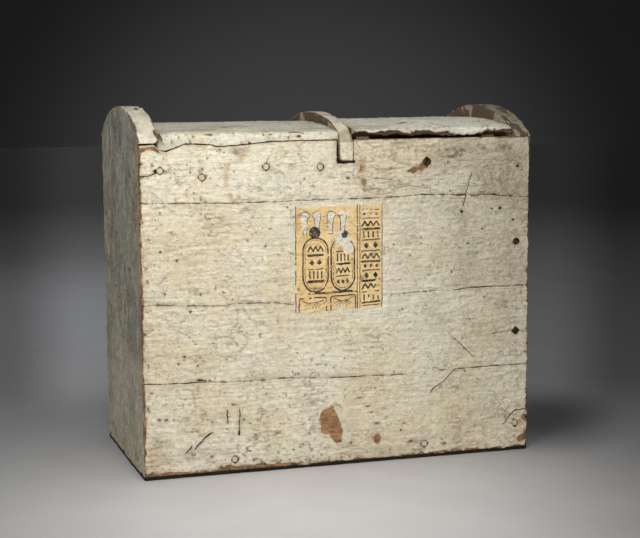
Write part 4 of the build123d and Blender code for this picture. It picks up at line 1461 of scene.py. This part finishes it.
def painted_panel():
    """A thin layer on the front that follows its unevenness, drawn as a grid one cell deep
    whose rim sinks into the coat."""
    xs = planes(PANEL_LOW[0], PANEL_HIGH[0], PANEL_PITCH)
    zs = planes(PANEL_LOW[1], PANEL_HIGH[1], PANEL_PITCH)
    ys = np.array([0.0, 1.0])
    keep = np.ones((len(xs) - 1, 1, len(zs) - 1), bool)
    points, faces = skin(xs, ys, zs, keep)
    x, layer, z = points.T
    face = np.stack([x, np.full(len(x), -HALF_Y), z], 1)
    coat = front_coat(face)
    rim = np.minimum(np.minimum(x - PANEL_LOW[0], PANEL_HIGH[0] - x),
                     np.minimum(z - PANEL_LOW[1], PANEL_HIGH[1] - z))
    proud = 0.36 * np.clip(rim / 2.5, 0, 1) - 0.16
    out = face.copy()
    out[:, 1] = -HALF_Y + np.maximum(coat.sunk - proud, 0.03) + layer * 0.9
    out = wander(out, "front")
    u = x + 0.5 * rough(face, 14, 131, 2)
    v = z + 0.5 * rough(face, 14, 132, 2)
    ink = panel_ink(u, v) + 0.3 * rough(face, 2.2, 133, 2)
    ink -= 1.8 * step_up(rough(face, 12, 134, 3), 0.36, 0.62)
    lost = np.maximum(disc(u, v, 0, 315, 11), disc(u, v, 8, 303, 8)) + 3 * rough(face, 7, 136, 2)
    ink -= 1.3 * step_up(lost, -1, 2)
    ink = np.minimum(ink, 1.2 * rim)
    ground = np.minimum(np.minimum(u + 65.5, 57.2 - u), np.minimum(v - 219.5, 360.5 - v))
    for x, lean in PLUMES:
        ground = np.minimum(ground, -area_distance(u, v, plume_outline(x, lean)))
    ground = np.minimum(ground, -lost)
    ground = np.minimum(ground, 8 - disc(u, v, 34, 350, 12))
    boxes = np.minimum(243 - v, 20 - u)
    ochre = ground - 3 * step_up(boxes, 0, 3) * (0.6 + rough(face, 8, 137, 2))
    ochre = np.minimum(ochre, 3.0 - 8 * step_up(rough(face, 15, 135, 3), 0.22, 0.6))
    values = {
        "kept": np.maximum(coat.kept, 1.5),
        "crack_and_shadow": coat.crack_and_shadow,
        "open": coat.open,
        "dirt_and_shade": coat.dirt_and_shade,
        "stain": coat.stain,
        "ink": np.clip(ink, -3, 3),
        "ochre": np.clip(ochre, -4, 4),
    }
    make_piece("painted_panel", out, faces, "carcass", [], PAINTED, values)


# Materials: woods in their light and dark tones, gesso fresh, aged and greyed, dirt that also lays
# painted shade, and paint

CHIP_WOOD = ((0.52, 0.29, 0.14, 1), (0.26, 0.135, 0.06, 1))
WORN_WOOD = ((0.34, 0.24, 0.155, 1), (0.15, 0.1, 0.062, 1))
LID_WOOD = ((0.18, 0.12, 0.073, 1), (0.06, 0.039, 0.024, 1))
DARK_WOOD = ((0.24, 0.165, 0.105, 1), (0.1, 0.066, 0.04, 1))
STAIN = (0.5, 0.34, 0.155, 1)
GROUND_IN_DIRT_AND_SHADE = (0.11, 0.075, 0.045, 1)
SOAKED = (0.52, 0.37, 0.22, 1)
OCHRE = (0.88, 0.63, 0.29, 1)
OCHRE_DEEP = (0.78, 0.52, 0.21, 1)
INK = (0.022, 0.021, 0.018, 1)
PALE = ((0.81, 0.775, 0.64, 1), (0.71, 0.655, 0.49, 1), (0.63, 0.61, 0.49, 1))
CREAM = ((0.83, 0.77, 0.615, 1), (0.76, 0.665, 0.465, 1), (0.66, 0.605, 0.46, 1))
DIRT_AND_SHADE = (0.22, 0.165, 0.1, 1)
DULL = (0.14, 0.148, 0.108, 1)
ALONG_X, ALONG_Y, ALONG_Z = (0.7, 10, 10), (10, 0.7, 10), (10, 10, 0.7)
PINHOLE, HAIRLINE = (0.2, 0.155, 0.1, 1), (0.17, 0.13, 0.085, 1)
LIP, CREVICE = (0.16, 0.09, 0.045, 1), (0.016, 0.012, 0.008, 1)
BARE_WOOD = ((0.4, 0.25, 0.14, 1), (0.2, 0.115, 0.06, 1))
DUST = (0.42, 0.36, 0.27, 1)


class Tree:
    """The nodes of one material or group. A number or colour given for an input is set on it,
    and a socket given for it is linked to it."""

    def __init__(self, tree):
        self.tree = tree

    def add(self, kind, inputs=(), **settings):
        """Adds a node."""
        node = self.tree.nodes.new(kind)
        for name, value in settings.items():
            setattr(node, name, value)
        for key, value in dict(inputs).items():
            if isinstance(value, bpy.types.NodeSocket):
                self.tree.links.new(value, node.inputs[key])
            else:
                node.inputs[key].default_value = value
        return node

    def math(self, operation, *values):
        """A sum, product or other operation on numbers."""
        return self.add("ShaderNodeMath", enumerate(values), operation=operation).outputs[0]

    def plus(self, first, second):
        """The sum of two numbers."""
        return self.math("ADD", first, second)

    def times(self, first, second):
        """The product of two numbers."""
        return self.math("MULTIPLY", first, second)

    def vectors(self, operation, *values):
        """An operation on vectors, which gives a number for a dot product or a length."""
        node = self.add("ShaderNodeVectorMath", enumerate(values), operation=operation)
        return node.outputs["Value" if operation in ("DOT_PRODUCT", "LENGTH") else "Vector"]

    def between(self, value, low, high, start=0.0, stop=1.0):
        """start below low and stop above high, eased between."""
        ends = {"Value": value, "From Min": low, "From Max": high, "To Min": start, "To Max": stop}
        return self.add("ShaderNodeMapRange", ends, interpolation_type="SMOOTHSTEP").outputs[0]

    def mix(self, share, first, second, kind="MIX"):
        """One colour laid over another."""
        colours = {0: share, 6: first, 7: second}
        node = self.add("ShaderNodeMix", colours, data_type="RGBA", blend_type=kind)
        return node.outputs[2]

    def noise(self, vector, scale, detail=2.0, roughness=0.5, distortion=0.0):
        """Noise from 0 to 1 with about scale features to the metre."""
        inputs = {"Vector": vector, "Scale": scale, "Detail": detail, "Roughness": roughness,
                  "Distortion": distortion}
        return self.add("ShaderNodeTexNoise", inputs).outputs[0]

    def group(self, group, vector, **inputs):
        """A group's outputs, with its other inputs given by name."""
        return self.add("ShaderNodeGroup", {"Vector": vector} | inputs, node_tree=group).outputs

    def value_of(self, name):
        """A named attribute of the mesh, as a number."""
        return self.add("ShaderNodeAttribute", attribute_name=name).outputs["Fac"]

    def lighter(self, colour, amount):
        """A colour with its brightness multiplied."""
        grey = self.add("ShaderNodeCombineColor", {0: amount, 1: amount, 2: amount}).outputs[0]
        return self.mix(1.0, colour, grey, "MULTIPLY")


SOCKETS = {"vector": "NodeSocketVector", "colour": "NodeSocketColor", "number": "NodeSocketFloat"}


def make_group(name, inputs, outputs, fill):
    """A node group with named sockets. fill gets the nodes and the inputs by name, and gives
    the socket for each output."""
    tree = bpy.data.node_groups.new(name, "ShaderNodeTree")
    for label, kind in inputs:
        tree.interface.new_socket(label, in_out="INPUT", socket_type=SOCKETS[kind])
    for label, kind in outputs:
        tree.interface.new_socket(label, in_out="OUTPUT", socket_type=SOCKETS[kind])
    nodes = Tree(tree)
    given = tree.nodes.new("NodeGroupInput").outputs
    result = fill(nodes, {label: given[label] for label, _ in inputs})
    leave = tree.nodes.new("NodeGroupOutput")
    for (label, _), socket in zip(outputs, result):
        tree.links.new(socket, leave.inputs[label])
    return tree


def colour_group(name, inputs, fill):
    """A group that makes an old surface: its colour, roughness and height."""
    outputs = [("Color", "colour"), ("Roughness", "number"), ("Height", "number")]
    return make_group(name, inputs, outputs, fill)


def fill_wood(nodes, given):
    """Bare old wood: broad figure, fibres and pores, all drawn out along the grain."""
    grain = nodes.vectors("MULTIPLY", given["Vector"], given["Grain"])
    figure = nodes.noise(grain, 7.0, 3.0, 0.55, 1.4)
    fibre = nodes.noise(grain, 36.0, 6.0, 0.62, 0.3)
    pores = nodes.noise(grain, 130.0, 2.0, 0.6)
    tone = nodes.plus(nodes.times(figure, 0.55), nodes.times(fibre, 0.45))
    colour = nodes.mix(nodes.between(tone, 0.36, 0.64), given["Dark"], given["Light"])
    speck = nodes.between(pores, 0.56, 0.72, 1.0, 0.55)
    mottle = nodes.between(nodes.noise(given["Vector"], 22.0, 4.0, 0.6), 0.3, 0.7, 0.78, 1.12)
    colour = nodes.lighter(colour, nodes.times(speck, mottle))
    height = nodes.plus(nodes.times(fibre, 0.5), nodes.times(speck, 0.12))
    return colour, nodes.between(fibre, 0.3, 0.7, 0.72, 0.9), height


def fill_gesso(nodes, given):
    """Old gesso: a ground that yellows and greys in patches, brushed streaks, fine mottle,
    pinholes, and short hairlines where a cell pattern's edges meet a patchy mask."""
    vector = given["Vector"]
    drawn = nodes.vectors("MULTIPLY", vector, given["Drawn"])
    patch = nodes.noise(vector, 8.0, 4.0, 0.6, 0.4)
    cloud = nodes.noise(vector, 34.0, 5.0, 0.62, 0.3)
    mottle = nodes.noise(vector, 150.0, 4.0, 0.65)
    streak = nodes.noise(drawn, 26.0, 4.0, 0.6, 0.2)
    grit = nodes.noise(vector, 900.0, 3.0, 0.6)
    colour = nodes.mix(nodes.between(patch, 0.44, 0.66, 0.0, 0.85), given["Ground"], given["Aged"])
    colour = nodes.mix(nodes.between(cloud, 0.5, 0.72, 0.0, 0.5), colour, given["Greyed"])
    bright = nodes.between(mottle, 0.3, 0.7, 0.88, 1.08)
    for part in (streak, grit):
        bright = nodes.times(bright, nodes.between(part, 0.3, 0.7, 0.88, 1.07))
    colour = nodes.lighter(colour, bright)
    pits = nodes.noise(vector, 330.0, 2.0, 0.5)
    pits = nodes.times(nodes.between(pits, 0.63, 0.71), nodes.between(cloud, 0.4, 0.6))
    colour = nodes.mix(nodes.times(pits, 0.55), colour, PINHOLE)
    swirl = nodes.add("ShaderNodeTexNoise", {"Vector": vector, "Scale": 60.0, "Detail": 3.0})
    bent = nodes.vectors("ADD", drawn, nodes.vectors("MULTIPLY", swirl.outputs[1], (0.3, 0.3, 0.3)))
    cells = nodes.add("ShaderNodeTexVoronoi", {"Vector": bent, "Scale": 7.5},
                      feature="DISTANCE_TO_EDGE").outputs[0]
    gate = nodes.between(nodes.noise(vector, 21.0, 3.0, 0.6), 0.5, 0.62)
    hair = nodes.times(nodes.between(cells, 0.004, 0.018, 1.0, 0.0), gate)
    colour = nodes.mix(nodes.times(hair, 0.5), colour, HAIRLINE)
    height = nodes.times(cloud, 1.6)
    for part, amount in ((streak, 2.6), (mottle, 4.2), (grit, 0.8), (pits, -0.5), (hair, -0.4)):
        height = nodes.plus(height, nodes.times(part, amount))
    return colour, nodes.between(cloud, 0.3, 0.7, 0.66, 0.86), height


def fill_edge(nodes, given):
    """Where the coat is kept, from the distance inside it: ragged, with a thin dirty lip, and
    a stain that soaks a little way in."""
    ragged = nodes.noise(given["Vector"], 520.0, 4.0, 0.65)
    ragged = nodes.times(nodes.math("SUBTRACT", ragged, 0.5), 2.2)
    inside = nodes.plus(given["Kept"], ragged)
    kept = nodes.between(inside, -0.12, 0.16)
    lip, soak = [nodes.times(kept, nodes.between(inside, low, high, 1.0, 0.0))
                 for low, high in ((0.1, 0.9), (0.2, 2.6))]
    return kept, lip, soak


def fill_crack_and_shadow(nodes, given):
    """A dark line for cracks and for lines of painted shadow, from the distance to the line and
    half its width, broken up by noise.
    """
    waver = nodes.noise(given["Vector"], 420.0, 3.0, 0.6)
    width = nodes.times(given["Open"], nodes.between(waver, 0.3, 0.7, 0.45, 1.5))
    gap = nodes.math("ABSOLUTE", given["Crack"])
    inside = nodes.math("DIVIDE", gap, nodes.plus(width, 0.0001))
    line = nodes.between(inside, 0.7, 1.25, 1.0, 0.0)
    return (nodes.times(line, nodes.between(given["Open"], 0.02, 0.12)),)


def fill_grime_and_shade(nodes, given):
    """Dirt, and painted shade where the amount carries it, laid over a colour in proportion to its
    amount, in a grain of its own.
    """
    grain = nodes.noise(given["Vector"], 260.0, 4.0, 0.7)
    amount = nodes.times(given["Amount"], nodes.between(grain, 0.34, 0.62, 0.62, 1.1))
    return (nodes.mix(amount, given["Color"], given["Dirt"]),)


WOOD = colour_group("old_wood", [("Vector", "vector"), ("Grain", "vector"), ("Light", "colour"),
                                 ("Dark", "colour")], fill_wood)
GESSO = colour_group("old_gesso", [("Vector", "vector"), ("Drawn", "vector"), ("Ground", "colour"),
                                   ("Aged", "colour"), ("Greyed", "colour")], fill_gesso)
EDGE = make_group("coat_edge", [("Vector", "vector"), ("Kept", "number")],
                  [("Kept", "number"), ("Lip", "number"), ("Soak", "number")], fill_edge)
CRACK_AND_SHADOW = make_group("crack_and_shadow_line", [("Vector", "vector"), ("Crack", "number"), ("Open", "number")],
                   [("Line", "number")], fill_crack_and_shadow)
GRIME_AND_SHADE = make_group("grime_and_shade", [("Vector", "vector"), ("Color", "colour"), ("Dirt", "colour"),
                             ("Amount", "number")], [("Color", "colour")], fill_grime_and_shade)


def new_material(name):
    """A material with its shader, and where its nodes go."""
    material = bpy.data.materials.new(name)
    material.use_nodes = True
    nodes = Tree(material.node_tree)
    shader = material.node_tree.nodes["Principled BSDF"]
    vector = nodes.add("ShaderNodeTexCoord").outputs["Object"]
    return material, nodes, shader, vector


def finish_shader(nodes, shader, colour, roughness, height):
    """Links the last sockets to the shader, with the height as a bump in millimetres."""
    bump = nodes.add("ShaderNodeBump", {"Height": height, "Strength": 0.9, "Distance": 0.001})
    nodes.tree.links.new(colour, shader.inputs["Base Color"])
    nodes.tree.links.new(roughness, shader.inputs["Roughness"])
    nodes.tree.links.new(bump.outputs["Normal"], shader.inputs["Normal"])
    shader.inputs["Specular IOR Level"].default_value = 0.25


def wood_material(name, grain):
    """Bare wood with its grain along one axis."""
    material, nodes, shader, vector = new_material(name)
    wood = nodes.group(WOOD, vector, Grain=grain, Light=BARE_WOOD[0], Dark=BARE_WOOD[1])
    dust = nodes.between(nodes.noise(vector, 30.0, 4.0, 0.65), 0.42, 0.7, 0.05, 0.5)
    colour = nodes.group(GRIME_AND_SHADE, vector, Color=wood["Color"], Amount=dust, Dirt=DUST)["Color"]
    finish_shader(nodes, shader, colour, wood["Roughness"], wood["Height"])
    return material


def gessoed_material(name, drawn, grain, tones, woods, dirt_and_shade, painted=False):
    """Gesso over wood, from the mesh's own values: bare where the coat is gone, dark in the
    cracks and along lines of painted shadow, darkened by dirt and painted shade, and stained, in
    patches."""
    material, nodes, shader, vector = new_material(name)
    soil_and_shade = nodes.value_of("dirt_and_shade")
    wood = nodes.group(WOOD, vector, Grain=grain, Light=woods[0], Dark=woods[1])
    gesso = nodes.group(GESSO, vector, Drawn=drawn, Ground=tones[0], Aged=tones[1],
                        Greyed=tones[2])
    bare = nodes.group(GRIME_AND_SHADE, vector, Color=wood["Color"], Dirt=GROUND_IN_DIRT_AND_SHADE, Amount=soil_and_shade)["Color"]
    edge = nodes.group(EDGE, vector, Kept=nodes.value_of("kept"))
    line = nodes.group(CRACK_AND_SHADOW, vector, Crack=nodes.value_of("crack_and_shadow"),
                       Open=nodes.value_of("open"))["Line"]
    coat = paint_over(nodes, vector, gesso["Color"]) if painted else gesso["Color"]
    coat = nodes.mix(nodes.times(nodes.value_of("stain"), 0.6), coat, STAIN)
    coat = nodes.group(GRIME_AND_SHADE, vector, Color=coat, Dirt=dirt_and_shade, Amount=soil_and_shade)["Color"]
    coat = nodes.mix(nodes.times(edge["Soak"], 0.5), coat, SOAKED)
    coat = nodes.mix(nodes.times(edge["Lip"], 0.35), coat, LIP)
    colour = nodes.mix(line, nodes.mix(edge["Kept"], bare, coat), CREVICE)
    height = nodes.plus(nodes.times(edge["Kept"], 0.5), gesso["Height"])
    wood_height = nodes.times(wood["Height"], nodes.math("SUBTRACT", 1.0, edge["Kept"]))
    height = nodes.plus(height, nodes.times(wood_height, 0.5))
    height = nodes.math("SUBTRACT", height, nodes.times(line, 0.5))
    roughness = nodes.math("MAXIMUM", gesso["Roughness"], nodes.times(edge["Kept"], 0.62))
    finish_shader(nodes, shader, colour, roughness, height)
    return material


def paint_over(nodes, vector, coat):
    """Ochre and dark ink on the coat, each from its own distance, thin and patchy."""
    fray = nodes.math("SUBTRACT", nodes.noise(vector, 700.0, 4.0, 0.65), 0.5)
    ochre = nodes.plus(nodes.value_of("ochre"), nodes.times(fray, 5.0))
    thin = nodes.between(nodes.noise(vector, 120.0, 4.0, 0.6), 0.3, 0.7, 0.72, 1.0)
    ochre = nodes.times(nodes.between(ochre, -0.5, 0.8), thin)
    tone = nodes.mix(nodes.between(nodes.noise(vector, 60.0, 3.0), 0.35, 0.65), OCHRE, OCHRE_DEEP)
    ink = nodes.plus(nodes.value_of("ink"), nodes.times(fray, 0.8))
    thin = nodes.between(nodes.noise(vector, 200.0, 4.0, 0.6), 0.3, 0.6, 0.8, 1.0)
    ink = nodes.times(nodes.between(ink, -0.12, 0.22), thin)
    return nodes.mix(ink, nodes.mix(ochre, coat, tone), INK)


GESSO_WALL = gessoed_material("gesso_on_walls", (1, 6, 9), ALONG_X, CREAM, CHIP_WOOD, DIRT_AND_SHADE)
GESSO_END = gessoed_material("gesso_on_ends", (4, 2.5, 4), ALONG_Z, CREAM, DARK_WOOD, DULL)
GESSO_LID = gessoed_material("gesso_on_lids", (1, 7, 7), ALONG_X, PALE, LID_WOOD, DULL)
GESSO_ARCH = gessoed_material("gesso_on_arch", (7, 1, 7), ALONG_Y, CREAM, WORN_WOOD, DIRT_AND_SHADE)
GESSO_PEG = gessoed_material("gesso_on_pegs", (5, 5, 5), (8, 8, 8), CREAM, CHIP_WOOD, DIRT_AND_SHADE)
PAINTED = gessoed_material("painted_gesso", (1, 6, 9), ALONG_X, CREAM, CHIP_WOOD, DIRT_AND_SHADE, True)
BARE_X = wood_material("bare_wood_along_the_box", ALONG_X)
BARE_Y = wood_material("bare_wood_across_the_box", ALONG_Y)
BARE_Z = wood_material("bare_wood_upright", ALONG_Z)


def dress_inner_nodes():
    """Gives every CAD node that stays its wood, with the grain along its length."""
    for name, node in frame["nodes"].items():
        wood = BARE_Z
        if name == "floor_dowels" or "batten" in name:
            wood = BARE_Y
        elif "dowel" not in name and ("lid_rail" in name or name.startswith("floor_")):
            wood = BARE_X
        elif "dowel" not in name and "partition" in name:
            wood = BARE_Y
        for slot in node.material_slots:
            slot.material = wood
        if not node.material_slots:
            node.data.materials.append(wood)


# The room

FLOOR_NEAR, FLOOR_FAR = (0.62, 0.607, 0.6, 1), (0.25, 0.25, 0.256, 1)
FLOOR_EDGE = (0.07, 0.07, 0.072, 1)
BACKDROP, BACKDROP_GLOW = (0.0095, 0.0095, 0.0095, 1), (0.0465, 0.0465, 0.047, 1)
DAYLIGHT = (0.36, 0.363, 0.365, 1)
WARM_LAMP, COOL_LAMP = (1.0, 0.985, 0.955), (0.97, 0.99, 1.0)


def make_camera():
    """The camera where the photograph was taken from, by its place and three angles."""
    yaw, pitch, roll = 0.3034, 0.1256, -0.0066
    up = Vector((0, 0, 1))
    flat_right = Vector((math.cos(yaw), -math.sin(yaw), 0))
    flat_ahead = Vector((math.sin(yaw), math.cos(yaw), 0))
    ahead = flat_ahead * math.cos(pitch) - up * math.sin(pitch)
    upright = up * math.cos(pitch) + flat_ahead * math.sin(pitch)
    right = flat_right * math.cos(roll) + upright * math.sin(roll)
    upward = upright * math.cos(roll) - flat_right * math.sin(roll)
    lens = bpy.data.cameras.new("camera")
    lens.sensor_width = 36
    lens.lens = 86.28
    camera = bpy.data.objects.new("camera", lens)
    turned = Matrix((right, upward, -ahead)).transposed().to_4x4()
    turned.translation = (-0.6502, -2.1167, 0.5367)
    camera.matrix_world = turned
    bpy.context.scene.collection.objects.link(camera)
    bpy.context.scene.camera = camera


def make_lamp(name, place_at, aim, size, power, colour):
    """A soft square lamp."""
    lamp = bpy.data.lights.new(name, "AREA")
    lamp.size = size
    lamp.energy = power
    lamp.color = colour
    holder = bpy.data.objects.new(name, lamp)
    direction = Vector(aim) - Vector(place_at)
    holder.matrix_world = direction.to_track_quat("-Z", "Y").to_matrix().to_4x4()
    holder.matrix_world.translation = Vector(place_at)
    bpy.context.scene.collection.objects.link(holder)


def painted_shadow_beside_box(nodes, vector):
    """The floor's painted shadow at the right of the box, a darker soft oval that points to the
    right and back."""
    offset = nodes.vectors("ADD", vector, (-0.385, -0.03, 0.0))
    lengths = [nodes.vectors("DOT_PRODUCT", offset, direction)
               for direction in ((2.5, 4.33, 0.0), (-7.8, 4.5, 0.0))]
    oval = nodes.add("ShaderNodeCombineXYZ", enumerate(lengths)).outputs[0]
    return nodes.between(nodes.vectors("LENGTH", oval), 0.2, 1.4, 0.36, 1.0)


def floor_shade(nodes, vector):
    """The floor's brightness, as painted light and shade: brighter at the left in front of the
    box and darker at both sides, even behind it, dark far in front, and a painted shadow beside the
    box."""
    aside, behind = [nodes.vectors("DOT_PRODUCT", vector, direction)
                     for direction in ((0.954, -0.299, 0.0), (0.299, 0.954, 0.0))]
    spread = nodes.math("DIVIDE", aside, nodes.plus(behind, 2.214))
    to_left = nodes.between(spread, -0.17, 0.155, 1.55, 0.87)
    to_sides = nodes.between(nodes.math("ABSOLUTE", spread), 0.15, 0.205, 1.0, 0.45)
    in_front = nodes.between(aside, 0.15, 0.6, 1.0, 0.6)
    shares = {0: nodes.between(behind, 0.05, 0.5), 2: in_front, 3: nodes.times(to_left, to_sides)}
    falling = nodes.add("ShaderNodeMix", shares, data_type="FLOAT").outputs[0]
    grain = nodes.between(nodes.noise(vector, 9.0, 3.0), 0.3, 0.7, 0.97, 1.02)
    shade = nodes.times(nodes.times(grain, falling), painted_shadow_beside_box(nodes, vector))
    return nodes.times(shade, nodes.between(behind, -1.2, -0.5, 0.16, 1.0))


def make_floor():
    """A wide round floor, pale round the box and painted darker far away as the light's falloff:
    rings of points whose radius grows by a fixed share."""
    turn = np.linspace(0, 2 * math.pi, 48, endpoint=False)
    radii = 200.0 * 1.35 ** np.arange(14)
    ring = np.stack([np.cos(turn), np.sin(turn), 0 * turn], 1)
    points = np.concatenate([ring * radius for radius in radii])
    count = len(turn)
    row, column = np.meshgrid(np.arange(len(radii) - 1), np.arange(count), indexing="ij")
    a, b = row * count + column, row * count + (column + 1) % count
    faces = np.stack([a, a + count, b + count, b], -1).reshape(-1, 4)
    mesh = bpy.data.meshes.new("floor")
    mesh.from_pydata((points / 1000).tolist(), [], faces.tolist() + [list(range(count))])
    floor = bpy.data.objects.new("floor", mesh)
    bpy.context.scene.collection.objects.link(floor)
    material, nodes, shader, vector = new_material("pale_floor")
    reach = nodes.vectors("LENGTH", nodes.vectors("ADD", vector, (0.1, 0.3, 0.0)))
    colour = nodes.mix(nodes.between(reach, 0.0, 0.72), FLOOR_NEAR, FLOOR_FAR)
    colour = nodes.mix(nodes.between(reach, 0.9, 5.0), colour, FLOOR_EDGE)
    shaded = nodes.lighter(colour, floor_shade(nodes, vector))
    nodes.tree.links.new(shaded, shader.inputs["Base Color"])
    shader.inputs["Roughness"].default_value = 0.85
    shader.inputs["Specular IOR Level"].default_value = 0.1
    mesh.materials.append(material)


def make_world():
    """Even light from all round, with a dark grey backdrop where the camera, a gloss or glass
    sees it, which glows a little behind the box."""
    world = bpy.data.worlds.new("studio")
    bpy.context.scene.world = world
    world.use_nodes = True
    nodes = Tree(world.node_tree)
    path = nodes.add("ShaderNodeLightPath").outputs
    seen = nodes.math("MAXIMUM", path["Is Camera Ray"], path["Is Glossy Ray"])
    seen = nodes.math("MAXIMUM", seen, path["Is Transmission Ray"])
    direction = nodes.add("ShaderNodeTexCoord").outputs[0]
    toward_box = nodes.vectors("DOT_PRODUCT", direction, (0.2885, 0.9525, -0.1))
    glow = nodes.math("POWER", nodes.between(toward_box, 0.965, 1.0), 2.5)
    backdrop = nodes.mix(glow, BACKDROP, BACKDROP_GLOW)
    colour = nodes.mix(seen, DAYLIGHT, backdrop)
    nodes.tree.links.new(colour, world.node_tree.nodes["Background"].inputs["Color"])


bpy.context.scene.view_settings.view_transform = "Standard"
make_camera()
make_world()
make_floor()
make_lamp("key_lamp", (-0.31, -0.68, 0.66), (-0.08, -0.14, 0.22), 0.3, 3.1, WARM_LAMP)
make_lamp("front_lamp", (0.1, -1.5, 0.21), (0.05, -0.14, 0.06), 0.8, 7.8, WARM_LAMP)
make_lamp("top_lamp", (0.1, -0.4, 1.5), (0.08, -0.05, 0.2), 0.9, 2.6, (0.98, 0.99, 1.0))
make_lamp("fill_lamp", (-0.9, 1.8, 1.0), (-0.05, 0.0, 0.25), 1.2, 5.0, COOL_LAMP)

dress_inner_nodes()
for wall_name in ("front", "back"):
    for level_name in ("bottom", "lower", "upper", "top"):
        wall_plank(wall_name, level_name)
    for kind_name in ("corner", "floor", "rail"):
        node_name, depth_of = f"{wall_name}_{kind_name}_pegs", wall_peg_depth(wall_name)
        whittled_pegs(node_name, 1, depth_of, WALL_PEG, "carcass")
whittled_pegs("end_floor_pegs", 0, end_peg_depth, WALL_PEG, "carcass")
for side_name in ("left", "right"):
    for half_name in ("front", "back"):
        end_board(side_name, half_name)
    for board_name in ("front", "crown", "back"):
        lid_board(side_name, board_name)
    whittled_pegs(f"{side_name}_lid_pegs", 2, lid_peg_depth, LID_PEG, f"{side_name}_lid")
partition_arch()
painted_panel()
